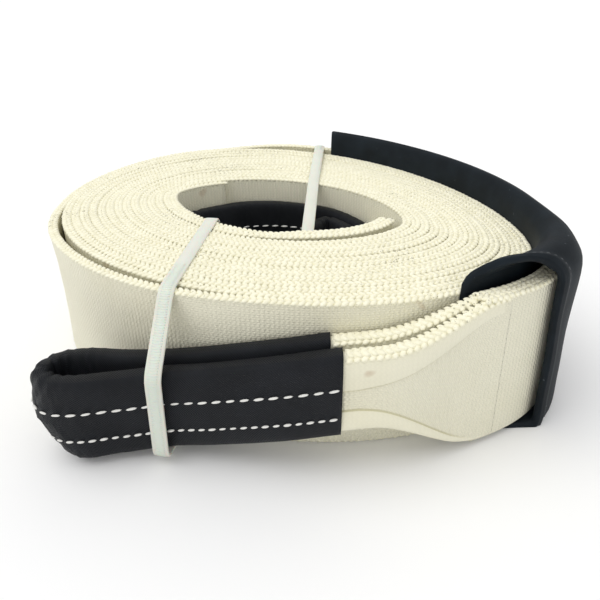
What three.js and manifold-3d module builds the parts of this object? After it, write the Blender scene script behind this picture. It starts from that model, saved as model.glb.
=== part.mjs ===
// A recovery strap of flat webbing, rolled up and held by two cable ties.
// Millimetres, +Z up. The roll lies flat, so the webbing stands on its edge.
// Angles are in degrees, anticlockwise from +X, seen from above.
import * as THREE from 'three';
import { mergeVertices } from 'three/addons/utils/BufferGeometryUtils.js';
import Module from 'manifold-3d';

// Webbing
const WEB_WIDTH = 75;
const PLY = 3.9;
const EDGE_CHAMFER = 1.1;
const GAP = 0.35;
const FUSE = 0.25;

// Roll: a spiral of parallel ovals around the bore, with a little slack that grows outwards
const TURNS = 13;
const TURN_SLACK = 0.9;
const TURN_PITCH = PLY + TURN_SLACK;
const SEGMENTS = 30;
const BORE_MEAN = 56.5;
const BORE_OVAL = 14.6;
const BORE_TURN = -18;
const SLACK_OVAL = 5.5;
const SLACK_TURN = 120;
const SLACK_LOBE = 5;
const SLACK_LOBE_TURN = 90;
const START_ANGLE = 110;
const LAP_ANGLE = 6;

// Outer end: one ply, then two plies sewn together as far as the crotch of the eye
const TAIL_STEPS = 20;
const SEWN_FROM = 8;
const SEWN_FULL = -12;
const CROTCH_ANGLE = -68;
const CROTCH_LAP = 3;
const STITCH_SWELL = 0.2;
const SEWN_THICK = 2 * PLY + STITCH_SWELL;

// Wear sleeve: a flattened tube slipped over the outer turn
const SLEEVE_WALL = 2.2;
const SLEEVE_BACK = 62;
const MOUTH_AT_ROLL = -70;
const MOUTH_OUTSIDE = -52;
const STRAP_RISE = SLEEVE_WALL + 2 * GAP;
const STRAP_TOP = STRAP_RISE + WEB_WIDTH;
const SLEEVE_HEADROOM = 14.1;
const SLEEVE_HEIGHT = STRAP_TOP + SLEEVE_HEADROOM;
const SLEEVE_SHOULDER = STRAP_TOP + 2.1;
const SLEEVE_SLACK_BACK = 1;
const SLEEVE_SLACK_FRONT = 3;
const SLEEVE_STEPS = 20;

// Section of the wear sleeve: shares of its half width, and heights from its crown and its foot
const STRAP_SHARE = 0.8;
const CROWN_FLAT = 0.3;
const CROWN_SIDE = 0.72;
const CROWN_DROP = 4;
const FOOT_FLAT = 0.75;
const FOOT_RISE = 3;

// Between these angles the strap leaves the roll's face and comes up to its place in the wear sleeve
const LEAVES_ROLL = START_ANGLE - 4;
const ENTERS_SLEEVE = SLEEVE_BACK + 6;

// Inner end: the sewn plies line the front of the bore
const INNER_END = -30;
const INNER_SEWN_FROM = -104;
const INNER_SEWN_FULL = -90;
const JOINS_FROM = -118;
const JOINS_DONE = -84;

// Eyes: the webbing folded in half lengthwise, inside a black sleeve
const FOLD_BULGE = 0.9;
const FOLD_PRESS = 0.2;
const FOLD_WIDTH = WEB_WIDTH / 2 + FOLD_BULGE;
const FOLD_THICK = 2 * PLY - FOLD_PRESS;
const EYE_SLEEVE_WALL = 1;
const EYE_STEPS = 56;
const CURVE_DIVISIONS = 800;
const LEG_TO_ROLL = 2 * GAP + EYE_SLEEVE_WALL + FOLD_THICK / 2;
const LEG_PITCH = FOLD_THICK + 2 * EYE_SLEEVE_WALL + 3 * GAP;

// Height of an eye's centre line, each with the stretch of leg over which it changes
const EYE_LIFT = 4.5;
const EYE_LIFT_RUN = [20, 65];
const EYE_DROP = 20;
const EYE_DROP_RUN = [55, 175];
const OUTER_FOLD = { from: 5, done: 62, sleeve: 68 };
const INNER_FOLD = { from: 2, done: 30, sleeve: 34 };

// Cable ties
const TIE_WIDTH = 7.2;
const TIE_THICK = 1.4;
const TIE_CLEAR = 0.35;
const TIE_FLOOR = 0.3;
const TIE_TOP_OF_FLOOR = TIE_FLOOR + TIE_THICK;
const GROOVE_OVERRUN = 2 * SEWN_THICK;
const TIE_SEAT = 0.9;
const TIE_HEAD = [5.4, 9, 10.5];
const FACE_SAMPLES = 60;
const FACE_SPAN = 40;
const FACE_MARGIN = 1;
const FRONT_TIE = { bore: -126, outside: -112, headHeight: 11 };
const BACK_TIE = { bore: 67, outside: 66, headHeight: 40 };

const MATERIALS = {
  webbing: new THREE.MeshStandardMaterial({ color: 0xeeeacd, roughness: 0.75, metalness: 0 }),
  eyeSleeve: new THREE.MeshStandardMaterial({ color: 0x14161b, roughness: 0.7, metalness: 0 }),
  wearSleeve: new THREE.MeshStandardMaterial({ color: 0x1a1e26, roughness: 0.6, metalness: 0 }),
  tie: new THREE.MeshStandardMaterial({ color: 0xe4e4d6, roughness: 0.35, metalness: 0 }),
};

const wasm = await Module();
wasm.setup();

const lerp = THREE.MathUtils.lerp;
const radians = THREE.MathUtils.degToRad;
const ramp = (value, from, to) => THREE.MathUtils.smoothstep((value - from) / (to - from), 0, 1);
const steps = (count) => Array.from({ length: count + 1 }, (_, i) => i / count);

// Outward normal of every oval at an angle.
const normalAt = (angle) => new THREE.Vector2(Math.cos(radians(angle)), Math.sin(radians(angle)));

// The point with that normal on the oval that lies k outside the bore.
function rollPoint(angle, k) {
  const share = k / (TURN_PITCH * (TURNS + 1));
  const bore = 2 * radians(angle - BORE_TURN);
  const slack = 2 * radians(angle - SLACK_TURN);
  const lobe = 3 * radians(angle - SLACK_LOBE_TURN);
  const reach = BORE_MEAN + k + BORE_OVAL * Math.cos(bore)
    + share * (SLACK_OVAL * Math.cos(slack) + SLACK_LOBE * Math.cos(lobe));
  const slope = -2 * BORE_OVAL * Math.sin(bore)
    - share * (2 * SLACK_OVAL * Math.sin(slack) + 3 * SLACK_LOBE * Math.sin(lobe));
  const normal = normalAt(angle);
  return new THREE.Vector2(reach * normal.x - slope * normal.y, reach * normal.y + slope * normal.x);
}

// How far out the spiral has come at an angle after whole turns; angles fall as it winds outwards.
const spiral = (turn, angle) => TURN_PITCH * (turn + (START_ANGLE - angle) / 360);

// Outer face of the roll itself, for angles from START_ANGLE down.
const rollFace = (angle) => spiral(TURNS, angle);

// Closes triangles into one body whose faces point out.
function closedBody(triangles) {
  const geometry = new THREE.BufferGeometry();
  const flat = triangles.flat().flatMap((p) => [p.x, p.y, p.z]);
  geometry.setAttribute('position', new THREE.Float32BufferAttribute(flat, 3));
  const volume = triangles.reduce((sum, [a, b, c]) => sum + a.dot(b.clone().cross(c)), 0);
  const merged = mergeVertices(geometry, 1e-3);
  if (volume < 0) merged.index.array.reverse();
  return merged;
}

// Skin between rings of points that follow each other.
function skin(rings, flip = false) {
  const triangles = [];
  for (let i = 0; i + 1 < rings.length; i += 1) {
    const [here, next] = flip ? [rings[i + 1], rings[i]] : [rings[i], rings[i + 1]];
    here.forEach((point, j) => {
      const k = (j + 1) % here.length;
      triangles.push([point, next[j], next[k]], [point, next[k], here[k]]);
    });
  }
  return triangles;
}

// Flat convex cap over a ring.
function cap(ring, flip = false) {
  const fan = ring.slice(2).map((point, j) => [ring[0], ring[j + 1], point]);
  return flip ? fan.map(([a, b, c]) => [a, c, b]) : fan;
}

const solid = (rings) => closedBody([...skin(rings), ...cap(rings[0]), ...cap(rings.at(-1), true)]);

// Tube with a wall between two sets of rings, open at both ends.
function tube(outer, inner) {
  const ends = [...skin([inner[0], outer[0]]), ...skin([outer.at(-1), inner.at(-1)])];
  return closedBody([...skin(outer), ...skin(inner, true), ...ends]);
}

// Ring of a station: offsets (across, up) about a plan point, across along the normal.
const ring = ({ point, normal }, offsets) => offsets.map(([across, up]) => new THREE.Vector3(
  point.x + across * normal.x, point.y + across * normal.y, up));

// Webbing on edge: a rectangle with its corners taken off, centred across, from low to high.
function webSection(thick, low, high, chamfer = EDGE_CHAMFER) {
  const half = thick / 2;
  return [
    [-half, high - chamfer], [chamfer - half, high], [half - chamfer, high], [half, high - chamfer],
    [half, low + chamfer], [half - chamfer, low], [chamfer - half, low], [-half, low + chamfer],
  ];
}

function toManifold(geometry) {
  const mesh = new wasm.Mesh({
    numProp: 3,
    vertProperties: new Float32Array(geometry.attributes.position.array),
    triVerts: new Uint32Array(geometry.index.array),
  });
  return new wasm.Manifold(mesh);
}

function fromManifold(manifold) {
  const mesh = manifold.getMesh();
  const geometry = new THREE.BufferGeometry();
  geometry.setAttribute('position', new THREE.BufferAttribute(mesh.vertProperties, 3));
  geometry.setIndex(new THREE.BufferAttribute(mesh.triVerts, 1));
  return geometry;
}

// The roll: whole turns side by side, with a groove between the turns on both ends and a step
// where the webbing comes in and where it leaves.
function rollBody() {
  const slices = steps(SEGMENTS).map((share) => {
    const angle = START_ANGLE - 360 * share;
    const columns = [];
    for (let turn = 0; turn < TURNS; turn += 1) {
      const k = spiral(turn, angle);
      columns.push([k, EDGE_CHAMFER], [k + EDGE_CHAMFER, 0], [k + TURN_PITCH - EDGE_CHAMFER, 0]);
    }
    columns.push([spiral(TURNS, angle), EDGE_CHAMFER]);
    const at = ([k, depth], top) => {
      const plan = rollPoint(angle, k);
      return new THREE.Vector3(plan.x, plan.y, top ? WEB_WIDTH - depth : depth);
    };
    return [...columns.map((c) => at(c, true)), ...columns.toReversed().map((c) => at(c, false))];
  });
  const count = slices[0].length;
  const turnFace = (slice, turn) => [
    ...slice.slice(3 * turn, 3 * turn + 4),
    ...slice.slice(count - 3 * turn - 4, count - 3 * turn),
  ];
  return closedBody([
    ...skin(slices),
    ...cap(turnFace(slices[0], 0)),
    ...cap(turnFace(slices[SEGMENTS], TURNS - 1), true),
  ]);
}

// Outer end of the strap, from the step on the roll to the crotch of the outer eye.
const sewnShare = (angle) => ramp(angle, SEWN_FROM, SEWN_FULL);
const tailThick = (angle) => lerp(PLY, SEWN_THICK, sewnShare(angle));
const sleeveSlack = (angle) => {
  const open = ramp(angle, SLEEVE_BACK, MOUTH_OUTSIDE);
  return lerp(SLEEVE_SLACK_BACK, SLEEVE_SLACK_FRONT, open);
};

// Half the room inside the sleeve, across the webbing.
const sleeveHalf = (angle) => (tailThick(angle) / 2 + GAP) / STRAP_SHARE + sleeveSlack(angle) / 2;
const sleeveMiddle = (angle) => GAP + SLEEVE_WALL + sleeveHalf(angle);
const inSleeve = (angle) => ramp(angle, LEAVES_ROLL, ENTERS_SLEEVE);
const tailMiddle = (angle) => rollFace(angle)
  + lerp(tailThick(angle) / 2 - FUSE, sleeveMiddle(angle), inSleeve(angle));
const tailRise = (angle) => STRAP_RISE * inSleeve(angle);
const tailFace = (angle) => tailMiddle(angle) + tailThick(angle) / 2;

function outerTail() {
  return solid(steps(TAIL_STEPS).map((share) => {
    const angle = lerp(START_ANGLE + LAP_ANGLE, CROTCH_ANGLE - CROTCH_LAP, share);
    const station = { point: rollPoint(angle, tailMiddle(angle)), normal: normalAt(angle) };
    const low = tailRise(angle);
    return ring(station, webSection(tailThick(angle), low, low + WEB_WIDTH));
  }));
}

// Inner end of the strap, back from the step in the bore: the innermost turn and its sewn plies.
const innerThick = (angle) => lerp(PLY, SEWN_THICK, ramp(angle, INNER_SEWN_FROM, INNER_SEWN_FULL));
const innerFace = (angle) => spiral(-1, angle) + FUSE - innerThick(angle);

// The back wall of the bore is the roll's own first turn.
const boreFace = (angle) => spiral(0, angle);

function innerTail() {
  return solid(steps(TAIL_STEPS).map((share) => {
    const angle = lerp(START_ANGLE - 360 - LAP_ANGLE, INNER_END, share);
    const middle = innerFace(angle) + innerThick(angle) / 2;
    const station = { point: rollPoint(angle, middle), normal: normalAt(angle) };
    return ring(station, webSection(innerThick(angle), 0, WEB_WIDTH));
  }));
}

// The ply that joins the roll's first turn to the sewn plies, and lies between them and the roll.
function joiningPly() {
  return solid(steps(TAIL_STEPS).map((share) => {
    const angle = lerp(START_ANGLE - 360 - LAP_ANGLE, JOINS_DONE, share);
    const besideRoll = boreFace(angle) + FUSE - PLY / 2;
    const besideTail = innerFace(angle) + innerThick(angle) - PLY / 2;
    const middle = lerp(besideRoll, besideTail, ramp(angle, JOINS_FROM, JOINS_DONE));
    const station = { point: rollPoint(angle, middle), normal: normalAt(angle) };
    return ring(station, webSection(PLY, 0, WEB_WIDTH));
  }));
}

// Centre line of an eye, crotch to tip to crotch, as stations with the distance to the nearer end.
function eyeStations(route) {
  const points = route.map((p) => new THREE.Vector3(p.x, p.y, 0));
  const curve = new THREE.CatmullRomCurve3(points, false, 'centripetal');
  curve.arcLengthDivisions = CURVE_DIVISIONS;
  const length = curve.getLength();
  return steps(EYE_STEPS).map((share) => {
    const at = curve.getPointAt(share);
    const along = curve.getTangentAt(share);
    return {
      point: new THREE.Vector2(at.x, at.y),
      normal: new THREE.Vector2(along.y, -along.x),
      distance: length * Math.min(share, 1 - share),
    };
  });
}

function eyeWeb(stations, middle, fold) {
  return solid(stations.map((station) => {
    const folded = ramp(station.distance, fold.from, fold.done);
    const half = lerp(WEB_WIDTH, FOLD_WIDTH, folded) / 2;
    const centre = middle(station.distance);
    return ring(station, webSection(lerp(PLY, FOLD_THICK, folded), centre - half, centre + half));
  }));
}

function eyeSleeve(stations, middle, fold) {
  const covered = stations.filter((station) => station.distance >= fold.sleeve);
  const rings = (grow) => covered.map((station) => {
    const half = FOLD_WIDTH / 2 + grow;
    const centre = middle(station.distance);
    const section = webSection(FOLD_THICK + 2 * grow, centre - half, centre + half, EDGE_CHAMFER + grow / 2);
    return ring(station, section);
  });
  return tube(rings(GAP + EYE_SLEEVE_WALL), rings(GAP));
}

// Outer eye: its legs lie on the front of the roll, and its tip reaches past it to the left.
// Past the last of these angles its points are (left, forward) from where the near leg leaves the roll.
const LEG_ANGLES = [CROTCH_LAP, -7, -16, -26, -36].map((turn) => CROTCH_ANGLE + turn);
const LEGS_APART = CROTCH_ANGLE - 18;
const NEAR_LEG = [[24, -4], [45, -7], [63, -8.6]];
const OUTER_TIP = [[74, -5.6], [78.6, LEG_PITCH / 2 - 2.9], [73, LEG_PITCH - 1.65]];
const FAR_LEG = [[63, LEG_PITCH - 0.25], [45, LEG_PITCH - 2.85], [24, LEG_PITCH - 4.25]];
const outerMiddle = (distance) => WEB_WIDTH / 2 + STRAP_RISE
  + EYE_LIFT * ramp(distance, ...EYE_LIFT_RUN) - EYE_DROP * ramp(distance, ...EYE_DROP_RUN);

function outerEyeRoute() {
  const apart = (angle) => ramp(angle, CROTCH_ANGLE, LEGS_APART);
  const ply = SEWN_THICK / 4;
  const near = (angle) => rollPoint(angle, rollFace(angle)
    + lerp(sleeveMiddle(CROTCH_ANGLE) - ply, LEG_TO_ROLL, apart(angle)));
  const far = (angle) => rollPoint(angle, rollFace(angle)
    + lerp(sleeveMiddle(CROTCH_ANGLE) + ply, LEG_TO_ROLL + LEG_PITCH, apart(angle)));
  const leaves = near(LEG_ANGLES.at(-1));
  const past = ([left, forward]) => new THREE.Vector2(leaves.x - left, leaves.y - forward);
  return [
    ...LEG_ANGLES.map(near),
    ...[...NEAR_LEG, ...OUTER_TIP, ...FAR_LEG].map(past),
    ...LEG_ANGLES.toReversed().map(far),
  ];
}

// Inner eye: it lines the left of the bore, and both legs turn round the right end of the bore.
// Each point is an angle, what the webbing lies on there, and how much farther in it runs.
const inPly = (share) => () => -innerFace(INNER_END) - share * SEWN_THICK;
const outerPly = inPly(0.75);
const innerPly = inPly(0.25);
const onBore = () => LEG_TO_ROLL;
const onTail = (angle) => LEG_TO_ROLL - innerFace(angle - 360);
const onLeg = () => LEG_TO_ROLL + LEG_PITCH;
const INNER_ROUTE = [
  [-36, outerPly, 0.5], [-18, onBore, -0.1], [0, onBore, 0.3], [25, onBore, 0.4], [45, onBore, 0.3],
  [62, onBore, 0.3], [80, onBore, 0.7], [95, onBore, 2.1], [105, onTail, 0.9], [116, onTail, 2.2],
  [127, onTail, 3], [162, onTail, 4.2], [197, onTail, 2.1], [209, onTail, 1.5], [219, onTail, 3.4],
  [229, onTail, 8.3], [80, onLeg, 39.8], [68, onLeg, 19.8], [60, onLeg, 2.4], [48, onLeg, 0.8],
  [35, onLeg, 1.2], [25, onLeg, -0.8], [10, innerPly, 4.1], [-10, innerPly, 1.3],
  [-36, innerPly, 0.7], [-50, innerPly, -0.1],
];
const innerMiddle = (distance) => WEB_WIDTH / 2 + EYE_LIFT * ramp(distance, ...EYE_LIFT_RUN);

function innerEyeRoute() {
  return INNER_ROUTE.map(([angle, lies, farther]) => rollPoint(angle, -lies(angle) - farther));
}

// Wear sleeve, around the outer turn: flat at the roll, with a fold along its top and bottom.
function sleeveOffsets(angle, grow) {
  const half = sleeveHalf(angle) + grow;
  const low = SLEEVE_WALL - grow;
  const high = SLEEVE_HEIGHT - SLEEVE_WALL + grow;
  return [
    [-half, SLEEVE_SHOULDER], [-CROWN_SIDE * half, high - CROWN_DROP], [-CROWN_FLAT * half, high],
    [CROWN_FLAT * half, high], [CROWN_SIDE * half, high - CROWN_DROP], [half, SLEEVE_SHOULDER],
    [half, WEB_WIDTH / 2], [half, low + FOOT_RISE], [FOOT_FLAT * half, low],
    [-FOOT_FLAT * half, low], [-half, low + FOOT_RISE], [-half, WEB_WIDTH / 2],
  ];
}

// The mouth is pulled back on the outside of the bend and reaches forward along the roll.
function sleeveRings(grow) {
  return steps(SLEEVE_STEPS).map((share) => {
    const offsets = sleeveOffsets(SLEEVE_BACK, grow);
    return offsets.map(([across], index) => {
      const side = THREE.MathUtils.clamp(0.5 + 0.5 * across / (sleeveHalf(SLEEVE_BACK) + grow), 0, 1);
      const mouth = lerp(MOUTH_AT_ROLL, MOUTH_OUTSIDE, side);
      const angle = lerp(SLEEVE_BACK, mouth, share);
      const [out, up] = sleeveOffsets(angle, grow)[index];
      const plan = rollPoint(angle, rollFace(angle) + sleeveMiddle(angle) + out);
      return new THREE.Vector3(plan.x, plan.y, up);
    });
  });
}

// Cable ties: each wraps the roll and the eye beside it, in an upright plane through two plan points.
const tiePlane = (from, to) => ({
  origin: from,
  direction: to.clone().sub(from).normalize(),
  span: from.distanceTo(to),
});

// A plane's own axes: across along its direction, up, and the tie's width beyond.
function placement({ origin, direction }) {
  const across = new THREE.Vector3(direction.x, direction.y, 0);
  const up = new THREE.Vector3(0, 0, 1);
  const place = new THREE.Matrix4().makeBasis(across, up, across.clone().cross(up));
  return place.setPosition(origin.x, origin.y, 0);
}

function placedSolid(geometry, plane) {
  geometry.deleteAttribute('normal');
  geometry.deleteAttribute('uv');
  const merged = mergeVertices(geometry, 1e-3);
  merged.applyMatrix4(placement(plane));
  return toManifold(merged);
}

// Where an eye's legs cross the plane: their farthest face in the given sense, and their height there.
function eyeAt(stations, middle, { origin, direction }, sense) {
  const crossing = stations
    .map((station) => ({ ...station, offset: station.point.clone().sub(origin) }))
    .filter(({ offset }) => Math.abs(offset.cross(direction)) < LEG_PITCH)
    .toSorted((a, b) => sense * (b.offset.dot(direction) - a.offset.dot(direction)))[0];
  const half = FOLD_WIDTH / 2 + 2 * GAP + EYE_SLEEVE_WALL;
  const centre = middle(crossing.distance);
  return {
    across: crossing.offset.dot(direction) + sense * (FOLD_THICK / 2 + 3 * GAP + EYE_SLEEVE_WALL),
    low: centre - half,
    high: centre + half,
  };
}

// Closed band: loop is its inner line, convex and anticlockwise, and head is where its lock sits.
function cableTie(plane, loop, head) {
  const points = loop.map(([across, up]) => new THREE.Vector2(across, up));
  const offset = points.map((point, i) => {
    const before = points.at(i - 1);
    const after = points[(i + 1) % points.length];
    const inward = point.clone().sub(before).normalize();
    const onward = after.clone().sub(point).normalize();
    const bisector = new THREE.Vector2(inward.y + onward.y, -inward.x - onward.x);
    const reach = 2 * TIE_THICK / bisector.lengthSq();
    return point.clone().addScaledVector(bisector, reach);
  });
  const shape = new THREE.Shape(offset);
  shape.holes.push(new THREE.Path(points));
  const band = new THREE.ExtrudeGeometry(shape, { depth: TIE_WIDTH, bevelEnabled: false });
  band.translate(0, 0, -TIE_WIDTH / 2);
  const lock = new THREE.BoxGeometry(...TIE_HEAD);
  lock.translate(head[0], head[1], 0);
  return placedSolid(band, plane).add(placedSolid(lock, plane));
}

// The ties draw into the underside of the roll, which still rests on its own edges.
function tieGroove(plane) {
  const depth = TIE_TOP_OF_FLOOR + TIE_CLEAR;
  const length = plane.span + 2 * GROOVE_OVERRUN;
  const box = new THREE.BoxGeometry(length, 2 * depth, TIE_WIDTH + 2 * TIE_CLEAR);
  box.translate(plane.span / 2, 0, 0);
  return placedSolid(box, plane);
}

function piece(name, geometry, material) {
  const mesh = new THREE.Mesh(geometry, material);
  mesh.name = name;
  return mesh;
}

const outerStations = eyeStations(outerEyeRoute());
const innerStations = eyeStations(innerEyeRoute());

// How far a face of the roll reaches in a tie's plane, over the tie's whole width.
function faceAcross(plane, angle, faceAt, sense) {
  const reaches = steps(FACE_SAMPLES)
    .map((share) => angle + FACE_SPAN * (share - 0.5))
    .map((near) => rollPoint(near, faceAt(near)).sub(plane.origin))
    .filter((offset) => Math.abs(offset.cross(plane.direction)) < TIE_WIDTH / 2 + FACE_MARGIN)
    .map((offset) => sense * offset.dot(plane.direction));
  return sense * (Math.max(...reaches) + TIE_CLEAR);
}

// Front tie: down the bore's front wall, under the roll, and over both legs of the outer eye.
function frontTie(plane) {
  const eye = eyeAt(outerStations, outerMiddle, plane, 1);
  const top = WEB_WIDTH + TIE_CLEAR;
  const inside = faceAcross(plane, FRONT_TIE.bore, innerFace, -1);
  const outside = faceAcross(plane, FRONT_TIE.outside, rollFace, 1);
  const loop = [
    [inside, TIE_TOP_OF_FLOOR], [outside, TIE_TOP_OF_FLOOR], [eye.across, eye.low], [eye.across, eye.high],
    [outside, top], [inside, top],
  ];
  return cableTie(plane, loop, [inside - TIE_SEAT - TIE_HEAD[0] / 2, FRONT_TIE.headHeight]);
}

// Back tie: over both legs of the inner eye, under the roll, and up the back of the outer turn.
function backTie(plane) {
  const eye = eyeAt(innerStations, innerMiddle, plane, -1);
  const top = WEB_WIDTH + tailRise(BACK_TIE.outside) + TIE_CLEAR;
  const inside = faceAcross(plane, BACK_TIE.bore, boreFace, -1);
  const outside = faceAcross(plane, BACK_TIE.outside, tailFace, 1);
  const loop = [
    [inside, TIE_TOP_OF_FLOOR], [outside, TIE_TOP_OF_FLOOR], [outside, top], [inside, WEB_WIDTH + TIE_CLEAR],
    [eye.across, eye.high], [eye.across, eye.low],
  ];
  return cableTie(plane, loop, [outside + TIE_SEAT + TIE_HEAD[0] / 2, BACK_TIE.headHeight]);
}

const frontPlane = tiePlane(
  rollPoint(FRONT_TIE.bore, innerFace(FRONT_TIE.bore)),
  rollPoint(FRONT_TIE.outside, rollFace(FRONT_TIE.outside)),
);
const backPlane = tiePlane(
  rollPoint(BACK_TIE.bore, boreFace(BACK_TIE.bore)),
  rollPoint(BACK_TIE.outside, tailFace(BACK_TIE.outside)),
);

const parts = [
  rollBody(),
  outerTail(),
  innerTail(),
  joiningPly(),
  eyeWeb(outerStations, outerMiddle, OUTER_FOLD),
  eyeWeb(innerStations, innerMiddle, INNER_FOLD),
];
const webbing = parts.map(toManifold).reduce((sum, next) => sum.add(next))
  .subtract(tieGroove(frontPlane))
  .subtract(tieGroove(backPlane));

const strap = new THREE.Group();
strap.add(
  piece('webbing', fromManifold(webbing), MATERIALS.webbing),
  piece('wear_sleeve', tube(sleeveRings(SLEEVE_WALL), sleeveRings(0)), MATERIALS.wearSleeve),
  piece('outer_eye_sleeve', eyeSleeve(outerStations, outerMiddle, OUTER_FOLD), MATERIALS.eyeSleeve),
  piece('inner_eye_sleeve', eyeSleeve(innerStations, innerMiddle, INNER_FOLD), MATERIALS.eyeSleeve),
  piece('front_cable_tie', fromManifold(frontTie(frontPlane)), MATERIALS.tie),
  piece('back_cable_tie', fromManifold(backTie(backPlane)), MATERIALS.tie),
);

// The origin is under the middle of the whole strap, on the floor.
const bounds = new THREE.Box3().setFromObject(strap);
strap.position.set(-(bounds.min.x + bounds.max.x) / 2, -(bounds.min.y + bounds.max.y) / 2, -bounds.min.z);

export default strap;
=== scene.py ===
"""A recovery strap of flat webbing, rolled up and held by two cable ties.

Metres, +Z up. The roll lies flat, so the webbing stands on its edge. Angles are in degrees,
anticlockwise from +X, seen from above, and they fall as the roll winds outwards.
"""
import math

import bpy
import numpy as np
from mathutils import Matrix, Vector


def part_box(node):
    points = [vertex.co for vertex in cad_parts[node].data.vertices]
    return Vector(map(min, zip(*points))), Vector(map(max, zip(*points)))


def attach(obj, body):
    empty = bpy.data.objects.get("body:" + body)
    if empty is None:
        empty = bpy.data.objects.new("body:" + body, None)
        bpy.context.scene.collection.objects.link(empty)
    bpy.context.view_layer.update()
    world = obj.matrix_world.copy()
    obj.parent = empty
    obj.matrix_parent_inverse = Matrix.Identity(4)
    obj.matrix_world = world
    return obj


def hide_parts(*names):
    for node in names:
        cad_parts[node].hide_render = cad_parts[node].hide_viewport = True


bl_info = {
    "name": "Rolled recovery strap",
    "version": (1, 0, 0),
    "blender": (4, 5, 0),
    "location": "View3D > Sidebar > Strap",
    "description": "Webbing, sleeves, stitches and cable ties of a rolled-up recovery strap",
    "category": "Add Mesh",
}

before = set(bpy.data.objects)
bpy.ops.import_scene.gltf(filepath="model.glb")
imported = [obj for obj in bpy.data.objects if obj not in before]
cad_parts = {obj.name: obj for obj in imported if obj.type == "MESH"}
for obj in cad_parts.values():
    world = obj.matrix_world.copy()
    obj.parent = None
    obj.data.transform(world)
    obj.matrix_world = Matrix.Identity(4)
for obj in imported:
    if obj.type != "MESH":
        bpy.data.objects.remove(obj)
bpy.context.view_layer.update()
BODY = "root"

# Stage
SENSOR = 36
KEY_FROM = (-0.45, -0.1, 1)

# Webbing
WEB_WIDTH = 0.075
PLY = 0.0039
GAP = 0.00035
FUSE = 0.00025
STITCH_SWELL = 0.0002
SEWN_THICK = 2 * PLY + STITCH_SWELL

# Its section: rounded corners of a few steps, with a few points down each face
CORNER = 0.0012
CORNER_LIMIT = 0.42
CORNER_STEPS = 4
FACE_STEPS = 3

# Its braided edges: rows at shares of the thickness, sunk a little into the ply
BRAID_ROWS = (-0.25, 0.25)
TOP_BRAID_SINK = 0.0002
BOTTOM_BRAID_SINK = 0.0011

# Roll
TURNS = 13
TURN_SLACK = 0.0009
TURN_PITCH = PLY + TURN_SLACK
FACETS = 30
BORE_MEAN = 0.0565
BORE_OVAL = 0.0146
BORE_TURN = -18
SLACK_OVAL = 0.0055
SLACK_TURN = 120
SLACK_LOBE = 0.005
SLACK_LOBE_TURN = 90
START_ANGLE = 110
LAP_ANGLE = 6
TURN_STEP = 2.5

# Looseness of the roll: wider gaps on its left, uneven edges, and a last turn that leans out there
LOOSE_ANGLE = 190
LOOSE_GAP = 0.0006
EDGE_WANDER = 0.0003
LEAN_ANGLE = 222
LEAN = 0.003
LEAN_DROP = 0.001
WANDER_WAVES = ((0.83, 0.5), (1.91, 0.3), (3.37, 0.2))

# Outer end and wear sleeve
SEWN_FROM = 8
SEWN_FULL = -12
CROTCH_ANGLE = -68
CROTCH_LAP = 3
TAIL_STEP = 2.0
SLEEVE_WALL = 0.0022
SLEEVE_BACK = 62
MOUTH_AT_ROLL = -70
MOUTH_OUTSIDE = -52
STRAP_RISE = SLEEVE_WALL + 2 * GAP
SLEEVE_HEIGHT = 0.092
SLEEVE_SHOULDER = 0.080
SLEEVE_SLACK_BACK = 0.001
SLEEVE_SLACK_FRONT = 0.003
WEAR_LENGTH = 0.235
SLEEVE_POINTS = 64
SLEEVE_STATIONS = 84

# Section of the wear sleeve: shares of its half width, and drops from its crown and its foot
STRAP_SHARE = 0.8
CROWN_FLAT = 0.3
CROWN_SIDE = 0.72
CROWN_DROP = 0.004
FOOT_FLAT = 0.75
FOOT_RISE = 0.003
SIDE_HEIGHTS = (0.058, WEB_WIDTH / 2, 0.018)

# Its mouth: a rolled hem, and a seam behind it
HEM_PLACE = 0.003
HEM_SPREAD = 0.004
HEM_OUTSIDE = 0.8
HEM_INSIDE = 0.25
SEAM_PLACE = 0.0075
SEAM_PITCH = 0.0032
SEAM_STITCH = (0.0024, 0.0006, 0.0005)
SEAM_COLOUR = (0.10, 0.11, 0.12)
SEAM_SHIFT = 30
SEAM_SPAN = 52

# Where the strap leaves the roll, and where it enters the sleeve
LEAVES_ROLL = START_ANGLE - 4
ENTERS_SLEEVE = SLEEVE_BACK + 6

# Inner end
INNER_END = -30
INNER_SEWN_FROM = -104
INNER_SEWN_FULL = -90
JOINS_FROM = -118
JOINS_DONE = -84

# Eyes
FOLD_BULGE = 0.0009
FOLD_PRESS = 0.0002
FOLD_WIDTH = WEB_WIDTH / 2 + FOLD_BULGE
FOLD_THICK = 2 * PLY - FOLD_PRESS
EYE_WALL = 0.001
EYE_LIFT = 0.0045
EYE_LIFT_RUN = (0.020, 0.065)
EYE_DROP = 0.020
EYE_DROP_RUN = (0.055, 0.175)
LEG_TO_ROLL = 2 * GAP + EYE_WALL + FOLD_THICK / 2
LEG_PITCH = FOLD_THICK + 2 * EYE_WALL + 3 * GAP
OUTER_FOLD = (0.005, 0.062)
INNER_FOLD = (0.002, 0.030)
OUTER_SLEEVE_FROM = 0.074
INNER_SLEEVE_FROM = 0.034
LEG_SPACING = 0.002
COVERED = 0.006

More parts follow.
